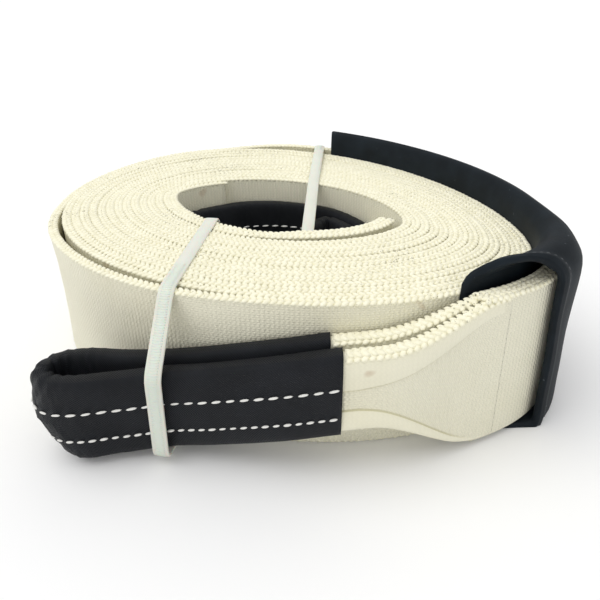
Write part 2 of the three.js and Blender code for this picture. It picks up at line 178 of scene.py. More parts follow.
# Flaps of the folded legs: depths at the start of a leg and at its sleeve, and their raised edges, with a
# painted shadow along them
FLAP_RUN = (0.010, 0.068)
FLAP_TOP = (0.007, 0.016)
FLAP_FOOT = (0.002, 0.012)
FLAP_STEP = 0.0006
FLAP_STEP_RUN = (0.008, 0.030)
FLAP_ROUND = 0.3
FLAP_SHARE = 0.97
FLAP_CREASE = 0.0002
FLAP_SHADOW = 0.0010
FLAP_EDGE_SHADE = 0.55
FLAP_EDGE_SHADE_RUN = (0.012, 0.03)
FOLD_ARC = 9
FOLD_BRAID_ROWS = (-0.72, -0.26, 0.26, 0.72)
FOLD_BRAID_SINK = 0.0005

# Columns of a folded leg's faces between its flaps, and the points at the flaps' edges that carry the
# painted shadow
RIBBED_COLUMNS = (21, 22, 23, 24)
FLAP_EDGE_POINTS = (20, 21, 25, 26)

# Eye sleeves: the squareness of their section, and the gathers of their bends
EYE_POINTS = 40
EYE_SPACING = 0.0011
FACE_SQUARE = 0.42
FOLD_SQUARE = 0.8
TIGHT_BEND = 90
GATHER = 0.0007
GATHER_PITCH = 0.0052
CREASE_PITCH = 0.0031
GATHERED_FACE = 0.45
PULLED_FACE = 0.9
SLOW_WAVE = 0.0003
EYE_TUCK = 0.009
EYE_TUCK_RUN = 0.035

# Their stitches: heights of the two rows from the middle, and how they stand
UPPER_ROW = 0.0055
LOWER_ROW = -0.009
STITCH_PROUD = 0.0002
STITCH_SHARE = 0.72
STITCH_SLANT = math.radians(5)
STITCH_WAVE = 0.0004
STITCH_MARGIN = 3

# Cable ties
TIE_WIDTH = 0.0072
TIE_THICK = 0.0014
TIE_CLEAR = 0.00035
TIE_FLOOR = 0.0003
TIE_EDGE = 0.0004
TIE_CROWN = 0.00012
TIE_SPACING = 0.0012
TIE_SEAT = 0.0009
LOCK_SIZE = (0.0054, 0.009, 0.0105)
LOCK_BLUNT = 0.35
LOCK_POINTS = 24
LOCK_LEVELS = ((-0.5, 0.82), (-0.46, 0.95), (-0.38, 1.0), (0.38, 1.0), (0.46, 0.95), (0.5, 0.82),
               (0.5, 0.5), (0.2, 0.46))
TONGUE = (0.0014, 0.006)
TONGUE_LEVELS = (0.0025, 0.0060, 0.0066)
RUNG_SIZE = (0.0006, 0.0052, 0.00035)
RUNG_PROUD = 0.00005
FACE_SPAN = 40
FACE_SAMPLES = 60
FACE_MARGIN = 0.001
EYE_SEARCH = 0.004
FRONT_BORE_ANGLE = -126
FRONT_OUTSIDE_ANGLE = -112
FRONT_LOCK_HEIGHT = 0.011
FRONT_TEETH = (0.12, 0.62)
BACK_BORE_ANGLE = 67
BACK_OUTSIDE_ANGLE = 66
BACK_LOCK_HEIGHT = 0.040
BACK_TEETH = (0.12, 0.45)


def ramp(value, start, end):
    """Smooth step from 0 at start to 1 at end, which may lie on either side of it."""
    share = np.clip((np.asarray(value, float) - start) / (end - start), 0, 1)
    return share * share * (3 - 2 * share)


def lerp(a, b, share):
    return a + (b - a) * share


def normal_at(angle):
    return np.stack([np.cos(np.radians(angle)), np.sin(np.radians(angle))], -1)


def oval_point(angle, k):
    """The point with that outward normal on the oval that lies k outside the bore."""
    angle = np.asarray(angle, float)
    share = k / (TURN_PITCH * (TURNS + 1))
    bore = 2 * np.radians(angle - BORE_TURN)
    slack = 2 * np.radians(angle - SLACK_TURN)
    lobe = 3 * np.radians(angle - SLACK_LOBE_TURN)
    reach = BORE_MEAN + k + BORE_OVAL * np.cos(bore)
    reach = reach + share * (SLACK_OVAL * np.cos(slack) + SLACK_LOBE * np.cos(lobe))
    slope = -2 * BORE_OVAL * np.sin(bore)
    slope = slope - share * (2 * SLACK_OVAL * np.sin(slack) + 3 * SLACK_LOBE * np.sin(lobe))
    normal = normal_at(angle)
    along = np.stack([-normal[..., 1], normal[..., 0]], -1)
    return reach[..., None] * normal + slope[..., None] * along


def spiral(turn, angle):
    return TURN_PITCH * (turn + (START_ANGLE - angle) / 360)


def roll_face(angle):
    return spiral(TURNS, angle)


def bore_face(angle):
    return spiral(0, angle)


def sewn_share(angle):
    return ramp(angle, SEWN_FROM, SEWN_FULL)


def tail_thick(angle):
    return lerp(PLY, SEWN_THICK, sewn_share(angle))


def sleeve_half(angle):
    slack = lerp(SLEEVE_SLACK_BACK, SLEEVE_SLACK_FRONT, ramp(angle, SLEEVE_BACK, MOUTH_OUTSIDE))
    return (tail_thick(angle) / 2 + GAP) / STRAP_SHARE + slack / 2


def sleeve_middle(angle):
    return GAP + SLEEVE_WALL + sleeve_half(angle)


def in_sleeve(angle):
    return ramp(angle, LEAVES_ROLL, ENTERS_SLEEVE)


def tail_middle(angle):
    return roll_face(angle) + lerp(tail_thick(angle) / 2 - FUSE, sleeve_middle(angle), in_sleeve(angle))


def tail_face(angle):
    return tail_middle(angle) + tail_thick(angle) / 2


def inner_thick(angle):
    return lerp(PLY, SEWN_THICK, ramp(angle, INNER_SEWN_FROM, INNER_SEWN_FULL))


def inner_face(angle):
    return spiral(-1, angle) + FUSE - inner_thick(angle)


def roll_centre():
    """Where the bore's centre lies in the frame, from the roll's leftmost and rearmost points."""
    corners = START_ANGLE - np.arange(FACETS + 1) * 360 / FACETS
    left = oval_point(corners, spiral(TURNS, corners))[:, 0].min()
    tail = np.linspace(START_ANGLE + LAP_ANGLE, CROTCH_ANGLE - CROTCH_LAP, 21)
    back = oval_point(tail, tail_face(tail))[:, 1].max()
    low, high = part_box("webbing")
    return np.array([low.x - left, high.y - back])


CENTRE = roll_centre()


def roll_point(angle, k):
    return oval_point(angle, k) + CENTRE


class StageSettings(bpy.types.PropertyGroup):
    """Camera, lights and floor."""

    camera_place: bpy.props.FloatVectorProperty(
        name="Camera place", description="Place of the camera from the bore's centre",
        subtype="TRANSLATION", unit="LENGTH", default=(0.01234, -0.30831, 0.20328))
    camera_pitch: bpy.props.FloatProperty(
        name="Camera pitch", description="How far the camera looks down", subtype="ANGLE",
        default=math.radians(21.987))
    lens: bpy.props.FloatProperty(
        name="Lens", description="Focal length on a 36 mm sensor", subtype="DISTANCE_CAMERA", default=33.8)
    shift: bpy.props.FloatProperty(
        name="Shift", description="Vertical shift that frames the strap", default=-0.1667)
    floor_colour: bpy.props.FloatVectorProperty(
        name="Floor colour", description="Colour of the floor", subtype="COLOR", default=(0.90, 0.90, 0.90))
    floor_size: bpy.props.FloatProperty(
        name="Floor size", description="Width of the floor", unit="LENGTH", default=40.0)
    key_strength: bpy.props.FloatProperty(
        name="Key light", description="Strength of the wide, soft light from above", default=1.1)
    key_spread: bpy.props.FloatProperty(
        name="Key spread", description="Width of the soft light, as seen from the strap", subtype="ANGLE",
        default=math.radians(50))
    sky: bpy.props.FloatProperty(
        name="Sky", description="Brightness of the white surroundings", default=0.86)


class WebbingSettings(bpy.types.PropertyGroup):
    """The cream webbing and its braided edges."""

    colour: bpy.props.FloatVectorProperty(
        name="Webbing", description="Colour of the clean weave", subtype="COLOR",
        default=(0.86, 0.83, 0.66))
    # Painted shade: the colour laid deep between the turns and along the flaps' edges
    gap_shade_colour: bpy.props.FloatVectorProperty(
        name="Between turns", description="Tint deep between the turns", subtype="COLOR",
        default=(0.42, 0.38, 0.16))
    rib_pitch: bpy.props.FloatProperty(
        name="Rib pitch", description="Distance between the ribs across the webbing", unit="LENGTH",
        default=0.0021)
    row_pitch: bpy.props.FloatProperty(
        name="Row pitch", description="Distance between the yarns along the webbing", unit="LENGTH",
        default=0.0012)
    knot_pitch: bpy.props.FloatProperty(
        name="Knot pitch", description="Distance between the knots of a braided edge", unit="LENGTH",
        default=0.003)
    knot_size: bpy.props.FloatVectorProperty(
        name="Knot size", description="Length, width and height of a knot", unit="LENGTH",
        default=(0.0048, 0.0026, 0.0021))
    knot_slant: bpy.props.FloatProperty(
        name="Knot slant", description="Turn of the knots away from the edge's line", subtype="ANGLE",
        default=math.radians(38))
    turn_gap: bpy.props.FloatProperty(
        name="Turn gap", description="Air between one turn and the next", unit="LENGTH", default=0.0003)


class SleeveSettings(bpy.types.PropertyGroup):
    """The black eye sleeves and the wear sleeve."""

    eye_colour: bpy.props.FloatVectorProperty(
        name="Eye sleeve", description="Colour of the eye sleeves' twill", subtype="COLOR",
        default=(0.006, 0.007, 0.009))
    wear_colour: bpy.props.FloatVectorProperty(
        name="Wear sleeve", description="Colour of the wear sleeve", subtype="COLOR",
        default=(0.005, 0.008, 0.011))
    twill_pitch: bpy.props.FloatProperty(
        name="Twill pitch", description="Distance between the twill's slanted ribs", unit="LENGTH",
        default=0.0011)
    thread_colour: bpy.props.FloatVectorProperty(
        name="Thread", description="Colour of the sewing thread", subtype="COLOR",
        default=(0.85, 0.84, 0.80))
    upper_pitch: bpy.props.FloatProperty(
        name="Upper stitch pitch", description="Stitch length of the upper row", unit="LENGTH",
        default=0.0062)
    lower_pitch: bpy.props.FloatProperty(
        name="Lower stitch pitch", description="Stitch length of the lower row", unit="LENGTH",
        default=0.0048)
    thread_size: bpy.props.FloatProperty(
        name="Thread thickness", description="Thickness of a stitch", unit="LENGTH", default=0.0011)
    hem_roll: bpy.props.FloatProperty(
        name="Hem", description="How far the wear sleeve's rolled hem stands out", unit="LENGTH",
        default=0.0013)


class TieSettings(bpy.types.PropertyGroup):
    """The cable ties."""

    colour: bpy.props.FloatVectorProperty(
        name="Nylon", description="Colour of the natural nylon", subtype="COLOR",
        default=(0.74, 0.75, 0.66))
    rung_pitch: bpy.props.FloatProperty(
        name="Rung pitch", description="Distance between the band's teeth", unit="LENGTH", default=0.0011)
    corner: bpy.props.FloatProperty(
        name="Corner", description="Radius of the band's bends", unit="LENGTH", default=0.0035)


def sewn_object(name, mesh, replaces=()):
    """Links a finished mesh, and ties it to the body and the solids that it stands for."""
    piece = bpy.data.objects.new(name, mesh)
    bpy.context.scene.collection.objects.link(piece)
    finish_piece(piece, replaces)
    return piece


def finish_piece(piece, replaces=()):
    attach(piece, BODY)
    if replaces:
        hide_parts(*replaces)


def node(tree, kind, inputs=(), **settings):
    """Adds a node, sets it up, and gives each input a value or a link."""
    made = tree.nodes.new(kind)
    for key, value in settings.items():
        setattr(made, key, value)
    for key, value in dict(inputs).items():
        if isinstance(value, bpy.types.NodeSocket):
            tree.links.new(value, made.inputs[key])
        else:
            made.inputs[key].default_value = value
    return made


def calc(tree, operation, a, b=0.0):
    return node(tree, "ShaderNodeMath", {0: a, 1: b}, operation=operation).outputs[0]


def wave(tree, phase):
    """A row of round ridges, one for each whole number that the phase passes."""
    return calc(tree, "ABSOLUTE", calc(tree, "SINE", calc(tree, "MULTIPLY", phase, math.pi)))


def blended(tree, share, a, b):
    """Colour a turned into colour b by a share, which may be a link."""
    made = node(tree, "ShaderNodeMix", data_type="RGBA")
    for index, value in ((0, share), (6, a), (7, b)):
        if isinstance(value, bpy.types.NodeSocket):
            tree.links.new(value, made.inputs[index])
        else:
            made.inputs[index].default_value = value
    return made.outputs[2]


def new_material(name):
    material = bpy.data.materials.new(name)
    material.use_nodes = True
    tree = material.node_tree
    return material, tree, tree.nodes["Principled BSDF"]


def opaque(colour, brightness=1.0):
    return (*(min(1.0, brightness * part) for part in colour), 1.0)


def noise(tree, scale, detail=3.0):
    place = node(tree, "ShaderNodeTexCoord").outputs["Object"]
    made = node(tree, "ShaderNodeTexNoise", {"Vector": place, "Scale": scale, "Detail": detail})
    return made.outputs["Fac"]


def steep(tree, value, low, high):
    """A value stretched so that low becomes 0 and high becomes 1."""
    made = node(tree, "ShaderNodeMapRange", {0: value, 1: low, 2: high})
    return made.outputs[0]


def uv_metres(tree):
    where = node(tree, "ShaderNodeUVMap", uv_map="UVMap").outputs[0]
    apart = node(tree, "ShaderNodeSeparateXYZ", {0: where})
    return apart.outputs[0], apart.outputs[1]


def bump(tree, shader, height, distance, strength):
    made = node(tree, "ShaderNodeBump", {"Height": height, "Distance": distance, "Strength": strength})
    tree.links.new(made.outputs[0], shader.inputs["Normal"])


def webbing_material(settings, ribbed):
    """Cross-ribbed cream weave, with painted shade in its hollows, and a yellow painted shade deep between
    the turns and along the flaps' edges. The folded flaps are smoother.
    """
    material, tree, shader = new_material("webbing_ribbed" if ribbed else "webbing_smooth")
    along, across = uv_metres(tree)
    row = calc(tree, "DIVIDE", across, settings.row_pitch)
    offset = calc(tree, "MULTIPLY", calc(tree, "PINGPONG", calc(tree, "FLOOR", row), 1.0), 0.2)
    column = calc(tree, "ADD", calc(tree, "DIVIDE", along, settings.rib_pitch), offset)
    rib = calc(tree, "SINE", calc(tree, "MULTIPLY", column, 2 * math.pi))
    rib = calc(tree, "ADD", calc(tree, "MULTIPLY", rib, 0.5), 0.5)
    weave = calc(tree, "MULTIPLY", rib, calc(tree, "POWER", wave(tree, row), 0.4))
    depth, deepest, contrast = (0.00045, 0.24, 0.24) if ribbed else (0.00012, 0.16, 0.08)
    bump(tree, shader, weave, depth, 0.8)
    # Painted shade: the weave's hollows darker than its ribs, less so on the smooth flaps
    shade = calc(tree, "SUBTRACT", deepest, calc(tree, "MULTIPLY", weave, contrast))
    colour = blended(tree, shade, opaque(settings.colour), opaque(settings.colour, 0.6))
    blotches = steep(tree, noise(tree, 22.0), 0.45, 0.75)
    colour = blended(tree, calc(tree, "MULTIPLY", blotches, 0.18), colour, (0.66, 0.60, 0.38, 1.0))
    spots = steep(tree, noise(tree, 75.0, 1.0), 0.73, 0.78)
    colour = blended(tree, calc(tree, "MULTIPLY", spots, 0.35), colour, (0.40, 0.24, 0.12, 1.0))
    # Painted shade: a yellow-brown colour deep between the turns and along the flaps' raised edges
    deep = node(tree, "ShaderNodeAttribute", attribute_name="painted_shade").outputs["Fac"]
    colour = blended(tree, deep, colour, opaque(settings.gap_shade_colour))
    tree.links.new(colour, shader.inputs["Base Color"])
    shader.inputs["Roughness"].default_value = 0.82
    shader.inputs["Sheen Weight"].default_value = 0.15
    return material


def knot_material(settings):
    """Yarn of the braided edges: a painted lighter copy of the face's cream, for the light that falls on
    the edges, with dirt in a few places.
    """
    material, tree, shader = new_material("webbing_braid")
    lit_colour = opaque(settings.colour, 1.06)
    # Painted highlight: the braid's cream is lighter than the face's
    tone = steep(tree, noise(tree, 260.0), 0.35, 0.7)
    colour = blended(tree, calc(tree, "MULTIPLY", tone, 0.35), lit_colour, (0.70, 0.66, 0.42, 1.0))
    patches = steep(tree, noise(tree, 30.0), 0.52, 0.66)
    specks = calc(tree, "MULTIPLY", steep(tree, noise(tree, 900.0, 1.0), 0.64, 0.70), patches)
    colour = blended(tree, calc(tree, "MULTIPLY", specks, 0.8), colour, (0.10, 0.09, 0.05, 1.0))
    tree.links.new(colour, shader.inputs["Base Color"])
    bump(tree, shader, noise(tree, 1800.0, 2.0), 0.0002, 0.5)
    shader.inputs["Roughness"].default_value = 0.7
    shader.inputs["Sheen Weight"].default_value = 0.2
    return material


def twill_material(settings):
    """Black synthetic twill of the eye sleeves, with a painted highlight on its raised ridges."""
    material, tree, shader = new_material("eye_sleeve_twill")
    along, across = uv_metres(tree)
    rib = wave(tree, calc(tree, "DIVIDE", calc(tree, "ADD", along, across), settings.twill_pitch))
    thread = wave(tree, calc(tree, "DIVIDE", calc(tree, "SUBTRACT", along, across), settings.twill_pitch))
    height = calc(tree, "ADD", rib, calc(tree, "MULTIPLY", thread, 0.45))
    bump(tree, shader, height, 0.00022, 0.9)
    # Painted highlight: the ridges are painted lighter, more so in uneven patches from the noise below
    wear = steep(tree, noise(tree, 60.0), 0.4, 0.75)
    share = calc(tree, "MULTIPLY", calc(tree, "MULTIPLY", height, 0.5), calc(tree, "ADD", wear, 0.3))
    colour = blended(tree, share, opaque(settings.eye_colour), opaque(settings.eye_colour, 2.3))
    tree.links.new(colour, shader.inputs["Base Color"])
    shader.inputs["Roughness"].default_value = 0.42
    shader.inputs["Specular IOR Level"].default_value = 0.16
    return material


def wear_material(settings):
    """Smooth, matt black knit of the wear sleeve, with a little lint."""
    material, tree, shader = new_material("wear_sleeve_knit")
    fine = noise(tree, 1400.0, 2.0)
    broad = noise(tree, 70.0)
    bump(tree, shader, calc(tree, "ADD", fine, calc(tree, "MULTIPLY", broad, 2.0)), 0.00015, 0.5)
    patches = steep(tree, broad, 0.35, 0.75)
    colour = blended(tree, patches, opaque(settings.wear_colour), opaque(settings.wear_colour, 1.8))
    lint = steep(tree, noise(tree, 700.0, 0.0), 0.84, 0.90)
    colour = blended(tree, calc(tree, "MULTIPLY", lint, 0.15), colour, (0.5, 0.55, 0.6, 1.0))
    tree.links.new(colour, shader.inputs["Base Color"])
    shader.inputs["Roughness"].default_value = 0.6
    shader.inputs["Specular IOR Level"].default_value = 0.14
    return material


def thread_material(name, colour):
    """Spun sewing thread, slightly uneven in tone."""
    material, tree, shader = new_material(name)
    tone = blended(tree, noise(tree, 500.0), opaque(colour), opaque(colour, 0.8))
    tree.links.new(tone, shader.inputs["Base Color"])
    bump(tree, shader, noise(tree, 2200.0, 1.0), 0.0001, 0.6)
    shader.inputs["Roughness"].default_value = 0.6
    return material


def nylon_material(settings):
    """Natural nylon: waxy, off-white and a little see-through."""
    material, tree, shader = new_material("natural_nylon")
    colour = blended(tree, noise(tree, 90.0), opaque(settings.colour), opaque(settings.colour, 0.9))
    tree.links.new(colour, shader.inputs["Base Color"])
    bump(tree, shader, noise(tree, 700.0, 1.0), 0.00005, 0.4)
    shader.inputs["Roughness"].default_value = 0.36
    shader.inputs["Subsurface Weight"].default_value = 0.25
    shader.inputs["Subsurface Scale"].default_value = 0.002
    return material


def lofted(name, rings, along, materials, closed=False, strips=None, attribute=None):
    """Skin through rings[station, point, xyz], with ends capped unless it closes on itself.

    UVs are metres along and metres around. strips gives each column of faces its material, and
    attribute is the name of a point attribute with its values.
    """
    count, points = rings.shape[:2]
    around = np.roll(rings, -1, 1) - rings
    lengths = np.linalg.norm(around, axis=2)
    across = np.concatenate([np.zeros((count, 1)), np.cumsum(lengths, 1)], 1)
    rows = count if closed else count - 1
    i, j = np.meshgrid(np.arange(rows), np.arange(points), indexing="ij")
    i, j = i.ravel(), j.ravel()
    i2, j2 = (i + 1) % count, (j + 1) % points
    quads = np.stack([i * points + j, i2 * points + j, i2 * points + j2, i * points + j2], 1)
    far = np.append(along, along[-1] + along[1] - along[0]) if closed else along
    uv = np.stack([
        np.stack([far[i], across[i, j]], 1), np.stack([far[i + 1], across[i2, j]], 1),
        np.stack([far[i + 1], across[i2, j + 1]], 1), np.stack([far[i], across[i, j + 1]], 1)], 1)
    corners = rings.reshape(-1, 3)
    a, b, c = corners[quads[:, 0]], corners[quads[:, 1]], corners[quads[:, 2]]
    middle = corners.mean(0)
    volume = np.einsum("ij,ij->i", a - middle, np.cross(b - middle, c - middle)).sum()
    if volume < 0:
        quads, uv = quads[:, ::-1], uv[:, ::-1]
    faces = quads.tolist()
    caps = []
    if not closed:
        first, last = list(range(points)), list(range((count - 1) * points, count * points))
        caps = [first[::-1], last] if volume >= 0 else [first, last[::-1]]
        flip = end_cap_points_back(rings, caps[0])
        caps = [face[::-1] for face in caps] if flip else caps
    mesh = bpy.data.meshes.new(name)
    mesh.from_pydata(corners.tolist(), [], faces + caps)
    layer = mesh.uv_layers.new(name="UVMap")
    cap_uv = [np.tile([along[0], 0.0], (points, 1)), np.tile([along[-1], 0.0], (points, 1))]
    pieces = [uv.reshape(-1, 2)] + (cap_uv if caps else [])
    layer.data.foreach_set("uv", np.concatenate(pieces).ravel())
    for material in materials:
        mesh.materials.append(material)
    if strips is not None:
        index = np.concatenate([np.asarray(strips)[j], [0] * len(caps)]).astype(np.int32)
        mesh.polygons.foreach_set("material_index", index)
    if attribute is not None:
        values = mesh.attributes.new(attribute[0], "FLOAT", "POINT")
        values.data.foreach_set("value", np.ascontiguousarray(attribute[1], np.float32).ravel())
    mesh.polygons.foreach_set("use_smooth", [True] * len(faces) + [False] * len(caps))
    mesh.update()
    return mesh


def end_cap_points_back(rings, cap):
    """Whether the first ring's cap faces along the loft, where it should face away from it."""
    ring = rings[0][np.array(cap)]
    area = sum(np.cross(ring[k], ring[(k + 1) % len(ring)]) for k in range(len(ring)))
    return float(np.dot(area, rings[1].mean(0) - rings[0].mean(0))) > 0


def stand_rings(points, normals, across, up):
    """Rings of points beside a plan line: across along its normals, and up."""
    plan = points[:, None, :] + across[:, :, None] * normals[:, None, :]
    return np.concatenate([plan, up[:, :, None]], 2)


def run_length(points):
    return np.concatenate([[0.0], np.cumsum(np.linalg.norm(np.diff(points, axis=0), axis=1))])


def web_template():
    """Side, height share, and the corner's unit offsets, for each point around the webbing."""
    quarter = np.linspace(0, math.pi / 2, CORNER_STEPS)
    down = np.linspace(1, 0, FACE_STEPS + 2)[1:-1]
    points = [(1, 1, math.sin(q), math.cos(q)) for q in quarter]
    points += [(1, share, 1, 0) for share in down]
    points += [(1, 0, math.cos(q), -math.sin(q)) for q in quarter]
    points += [(-1, 0, -math.sin(q), -math.cos(q)) for q in quarter]
    points += [(-1, share, -1, 0) for share in down[::-1]]
    points += [(-1, 1, -math.cos(q), math.sin(q)) for q in quarter]
    return np.array(points)


TEMPLATE = web_template()


def web_rings(points, normals, thick, low, high, lean=0.0):
    """Rings of a stretch of webbing. lean pushes its upper edge outwards."""
    count = len(points)
    thick, low, high, lean = (np.broadcast_to(v, (count,))[:, None] for v in (thick, low, high, lean))
    side, share, out, rise = TEMPLATE.T
    corner = np.minimum(CORNER, CORNER_LIMIT * thick)
    across = side * (thick / 2 - corner) + corner * out
    up = low + corner + share * (high - low - 2 * corner) + corner * rise
    return stand_rings(points, normals, across + lean * share ** 3, up)


def wander(w, seed):
    """Slow, uneven wave from -1 to 1 along the strap."""
    return sum(part * np.sin(2 * math.pi * pace * w + seed * (number + 1.3))
               for number, (pace, part) in enumerate(WANDER_WAVES))


def facing(angle, towards, start, end):
    """How squarely an angle faces another: 0 where their cosine is at start, 1 at end."""
    return ramp(np.cos(np.radians(angle - towards)), start, end)


def strap_places(w):
    """Angle, middle, thickness, height and lean of the long ply at w turns."""
    angle = START_ANGLE - 360 * w
    inner = angle - 360
    outer = angle + 360 * TURNS
    middle = TURN_PITCH * (w + 0.5)
    in_tail = inner_face(inner) + inner_thick(inner) - PLY / 2
    middle = lerp(middle, in_tail, ramp(inner, JOINS_FROM, JOINS_DONE))
    out_tail = tail_middle(outer) - sewn_share(outer) * SEWN_THICK / 4
    middle = lerp(middle, out_tail, ramp(w, TURNS - 0.04, TURNS + 0.02))
    rolled = ramp(w, -0.1, 0) * ramp(w, TURNS, TURNS - 0.05)
    gap = bpy.context.scene.strap_webbing.turn_gap
    loose = np.clip(wander(w * 1.3, 4.0), 0, 1) * facing(angle, LOOSE_ANGLE, 0.2, 0.9)
    thick = lerp(PLY, TURN_PITCH - gap - LOOSE_GAP * loose, rolled)
    rise = STRAP_RISE * in_sleeve(outer) * (w > TURNS - 0.5)
    low = rise + EDGE_WANDER * (1 + wander(w, 2.0)) * rolled
    high = rise + WEB_WIDTH + 2 * EDGE_WANDER * wander(w, 1.0) * rolled
    last_turn = ramp(w, TURNS - 1.1, TURNS - 0.9) * ramp(w, TURNS, TURNS - 0.1)
    leans = facing(angle, LEAN_ANGLE, 0.75, 1.0) * last_turn
    return angle, middle, thick, low, high - LEAN_DROP * leans, LEAN * leans


class Line:
    """A stretch of webbing as a plan line with its thickness, its edges and its lean."""

    def __init__(self, points, normals, thick, low, high, lean=0.0):
        count = len(points)
        self.points, self.normals = points, normals
        self.thick, self.low, self.high, self.lean = (
            np.broadcast_to(v, (count,)).astype(float) for v in (thick, low, high, lean))
        self.along = run_length(points)

    def rings(self):
        return web_rings(self.points, self.normals, self.thick, self.low, self.high, self.lean)

    def edge_rows(self, shares, top, sink):
        """Rows of knots along one edge, at shares of the thickness either side of the middle."""
        height = self.high - sink if top else self.low + sink
        lean = self.lean if top else 0 * self.lean
        rows = []
        for index, share in enumerate(shares):
            plan = self.points + (share * self.thick + lean)[:, None] * self.normals
            line = np.concatenate([plan, height[:, None]], 1)
            rows.append((line, 1 if index % 2 else -1, 0.5 * (index % 2)))
        return rows


def long_ply():
    """The ply that runs from the inner eye through every turn to the outer eye."""
    start = (START_ANGLE - INNER_END) / 360 - 1
    end = TURNS + (START_ANGLE - CROTCH_ANGLE + CROTCH_LAP) / 360
    w = np.arange(start, end, TURN_STEP / 360)
    angle, middle, thick, low, high, lean = strap_places(w)
    line = Line(roll_point(angle, middle), normal_at(angle), thick, low, high, lean)
    return w, line


def inner_sewn_ply():
    """The doubled-back end of the strap that lines the bore."""
    angle = np.arange(START_ANGLE - 360 - LAP_ANGLE, INNER_END, TURN_STEP)
    return Line(roll_point(angle, inner_face(angle) + PLY / 2), normal_at(angle), PLY, 0.0, WEB_WIDTH)


def outer_sewn_ply():
    """The doubled-back end of the strap under the wear sleeve, out to the crotch of the outer eye."""
    angle = np.arange(SEWN_FROM, CROTCH_ANGLE - CROTCH_LAP, -TAIL_STEP)
    middle = tail_middle(angle) + sewn_share(angle) * SEWN_THICK / 4
    return Line(roll_point(angle, middle), normal_at(angle), PLY, STRAP_RISE, STRAP_RISE + WEB_WIDTH)


def smooth_route(points, spacing):
    """Centripetal curve through plan points, as evenly spaced points with normals and run."""
    points = np.asarray(points, float)
    ends = [2 * points[0] - points[1], *points, 2 * points[-1] - points[-2]]
    share = np.linspace(0, 1, 24, endpoint=False)[:, None]
    dense = []
    for p0, p1, p2, p3 in zip(ends, ends[1:], ends[2:], ends[3:]):
        d0, d1, d2 = (max(np.linalg.norm(b - a), 1e-9) ** 0.5 for a, b in ((p0, p1), (p1, p2), (p2, p3)))
        t1 = ((p1 - p0) / d0 - (p2 - p0) / (d0 + d1) + (p2 - p1) / d1) * d1
        t2 = ((p2 - p1) / d1 - (p3 - p1) / (d1 + d2) + (p3 - p2) / d2) * d1
        a = 2 * p1 - 2 * p2 + t1 + t2
        b = -3 * p1 + 3 * p2 - 2 * t1 - t2
        dense.append(a * share ** 3 + b * share ** 2 + t1 * share + p1)
    dense = np.concatenate([*dense, points[-1:]])
    run = run_length(dense)
    even = np.linspace(0, run[-1], int(run[-1] / spacing) + 1)
    line = np.stack([np.interp(even, run, dense[:, k]) for k in (0, 1)], 1)
    heading = np.gradient(line, axis=0)
    heading /= np.linalg.norm(heading, axis=1)[:, None]
    normals = np.stack([heading[:, 1], -heading[:, 0]], 1)
    return line, normals, np.minimum(even, even[-1] - even)


def outer_eye_route():
    """The outer eye's plan: out along the roll from the crotch, past its front, and back."""
    legs = CROTCH_ANGLE + np.array([3, -7, -16, -26, -36])
    apart = ramp(legs, CROTCH_ANGLE, CROTCH_ANGLE - 18)
    ply = SEWN_THICK / 4
    crotch = sleeve_middle(CROTCH_ANGLE)
    near = roll_point(legs, roll_face(legs) + lerp(crotch - ply, LEG_TO_ROLL, apart))
    far = roll_point(legs, roll_face(legs) + lerp(crotch + ply, LEG_TO_ROLL + LEG_PITCH, apart))
    pitch = LEG_PITCH * 1000
    past = [[24, -4], [45, -7], [63, -8.6], [74, -5.6], [78.6, pitch / 2 - 2.9], [73, pitch - 1.65],
            [63, pitch - 0.25], [45, pitch - 2.85], [24, pitch - 4.25]]
    return np.concatenate([near, near[-1] - np.array(past) / 1000, far[::-1]])


def inner_eye_route():
    """The inner eye's plan, as distances inside the bore that the roll and the other leg leave."""
    outer_ply = -inner_face(INNER_END) - 0.75 * SEWN_THICK
    inner_ply = -inner_face(INNER_END) - 0.25 * SEWN_THICK
    on_leg = LEG_TO_ROLL + LEG_PITCH
    on_bore = [(-18, -0.1), (0, 0.3), (25, 0.4), (45, 0.3), (62, 0.3), (80, 0.7), (95, 2.1)]
    on_tail = [(105, 0.9), (116, 2.2), (127, 3), (162, 4.2), (197, 2.1), (209, 1.5), (219, 3.4), (229, 8.3)]
    over_leg = [(80, 39.8), (68, 19.8), (60, 2.4), (48, 0.8), (35, 1.2), (25, -0.8)]
    over_ply = [(10, 4.1), (-10, 1.3), (-36, 0.7), (-50, -0.1)]
    pairs = [(-36, outer_ply + 0.0005)]
    pairs += [(angle, LEG_TO_ROLL + more / 1000) for angle, more in on_bore]
    pairs += [(angle, LEG_TO_ROLL - inner_face(angle - 360) + more / 1000) for angle, more in on_tail]
    pairs += [(angle, on_leg + more / 1000) for angle, more in over_leg]
    pairs += [(angle, inner_ply + more / 1000) for angle, more in over_ply]
    angles, inside = np.array(pairs).T
    return roll_point(angles, -inside)


def outer_height(run):
    """Height of the outer eye's centre line, by the distance to the nearer end."""
    return inner_height(run) + STRAP_RISE - EYE_DROP * ramp(run, *EYE_DROP_RUN)


def inner_height(run):
    """Height of the inner eye's centre line."""
    return WEB_WIDTH / 2 + EYE_LIFT * ramp(run, *EYE_LIFT_RUN)


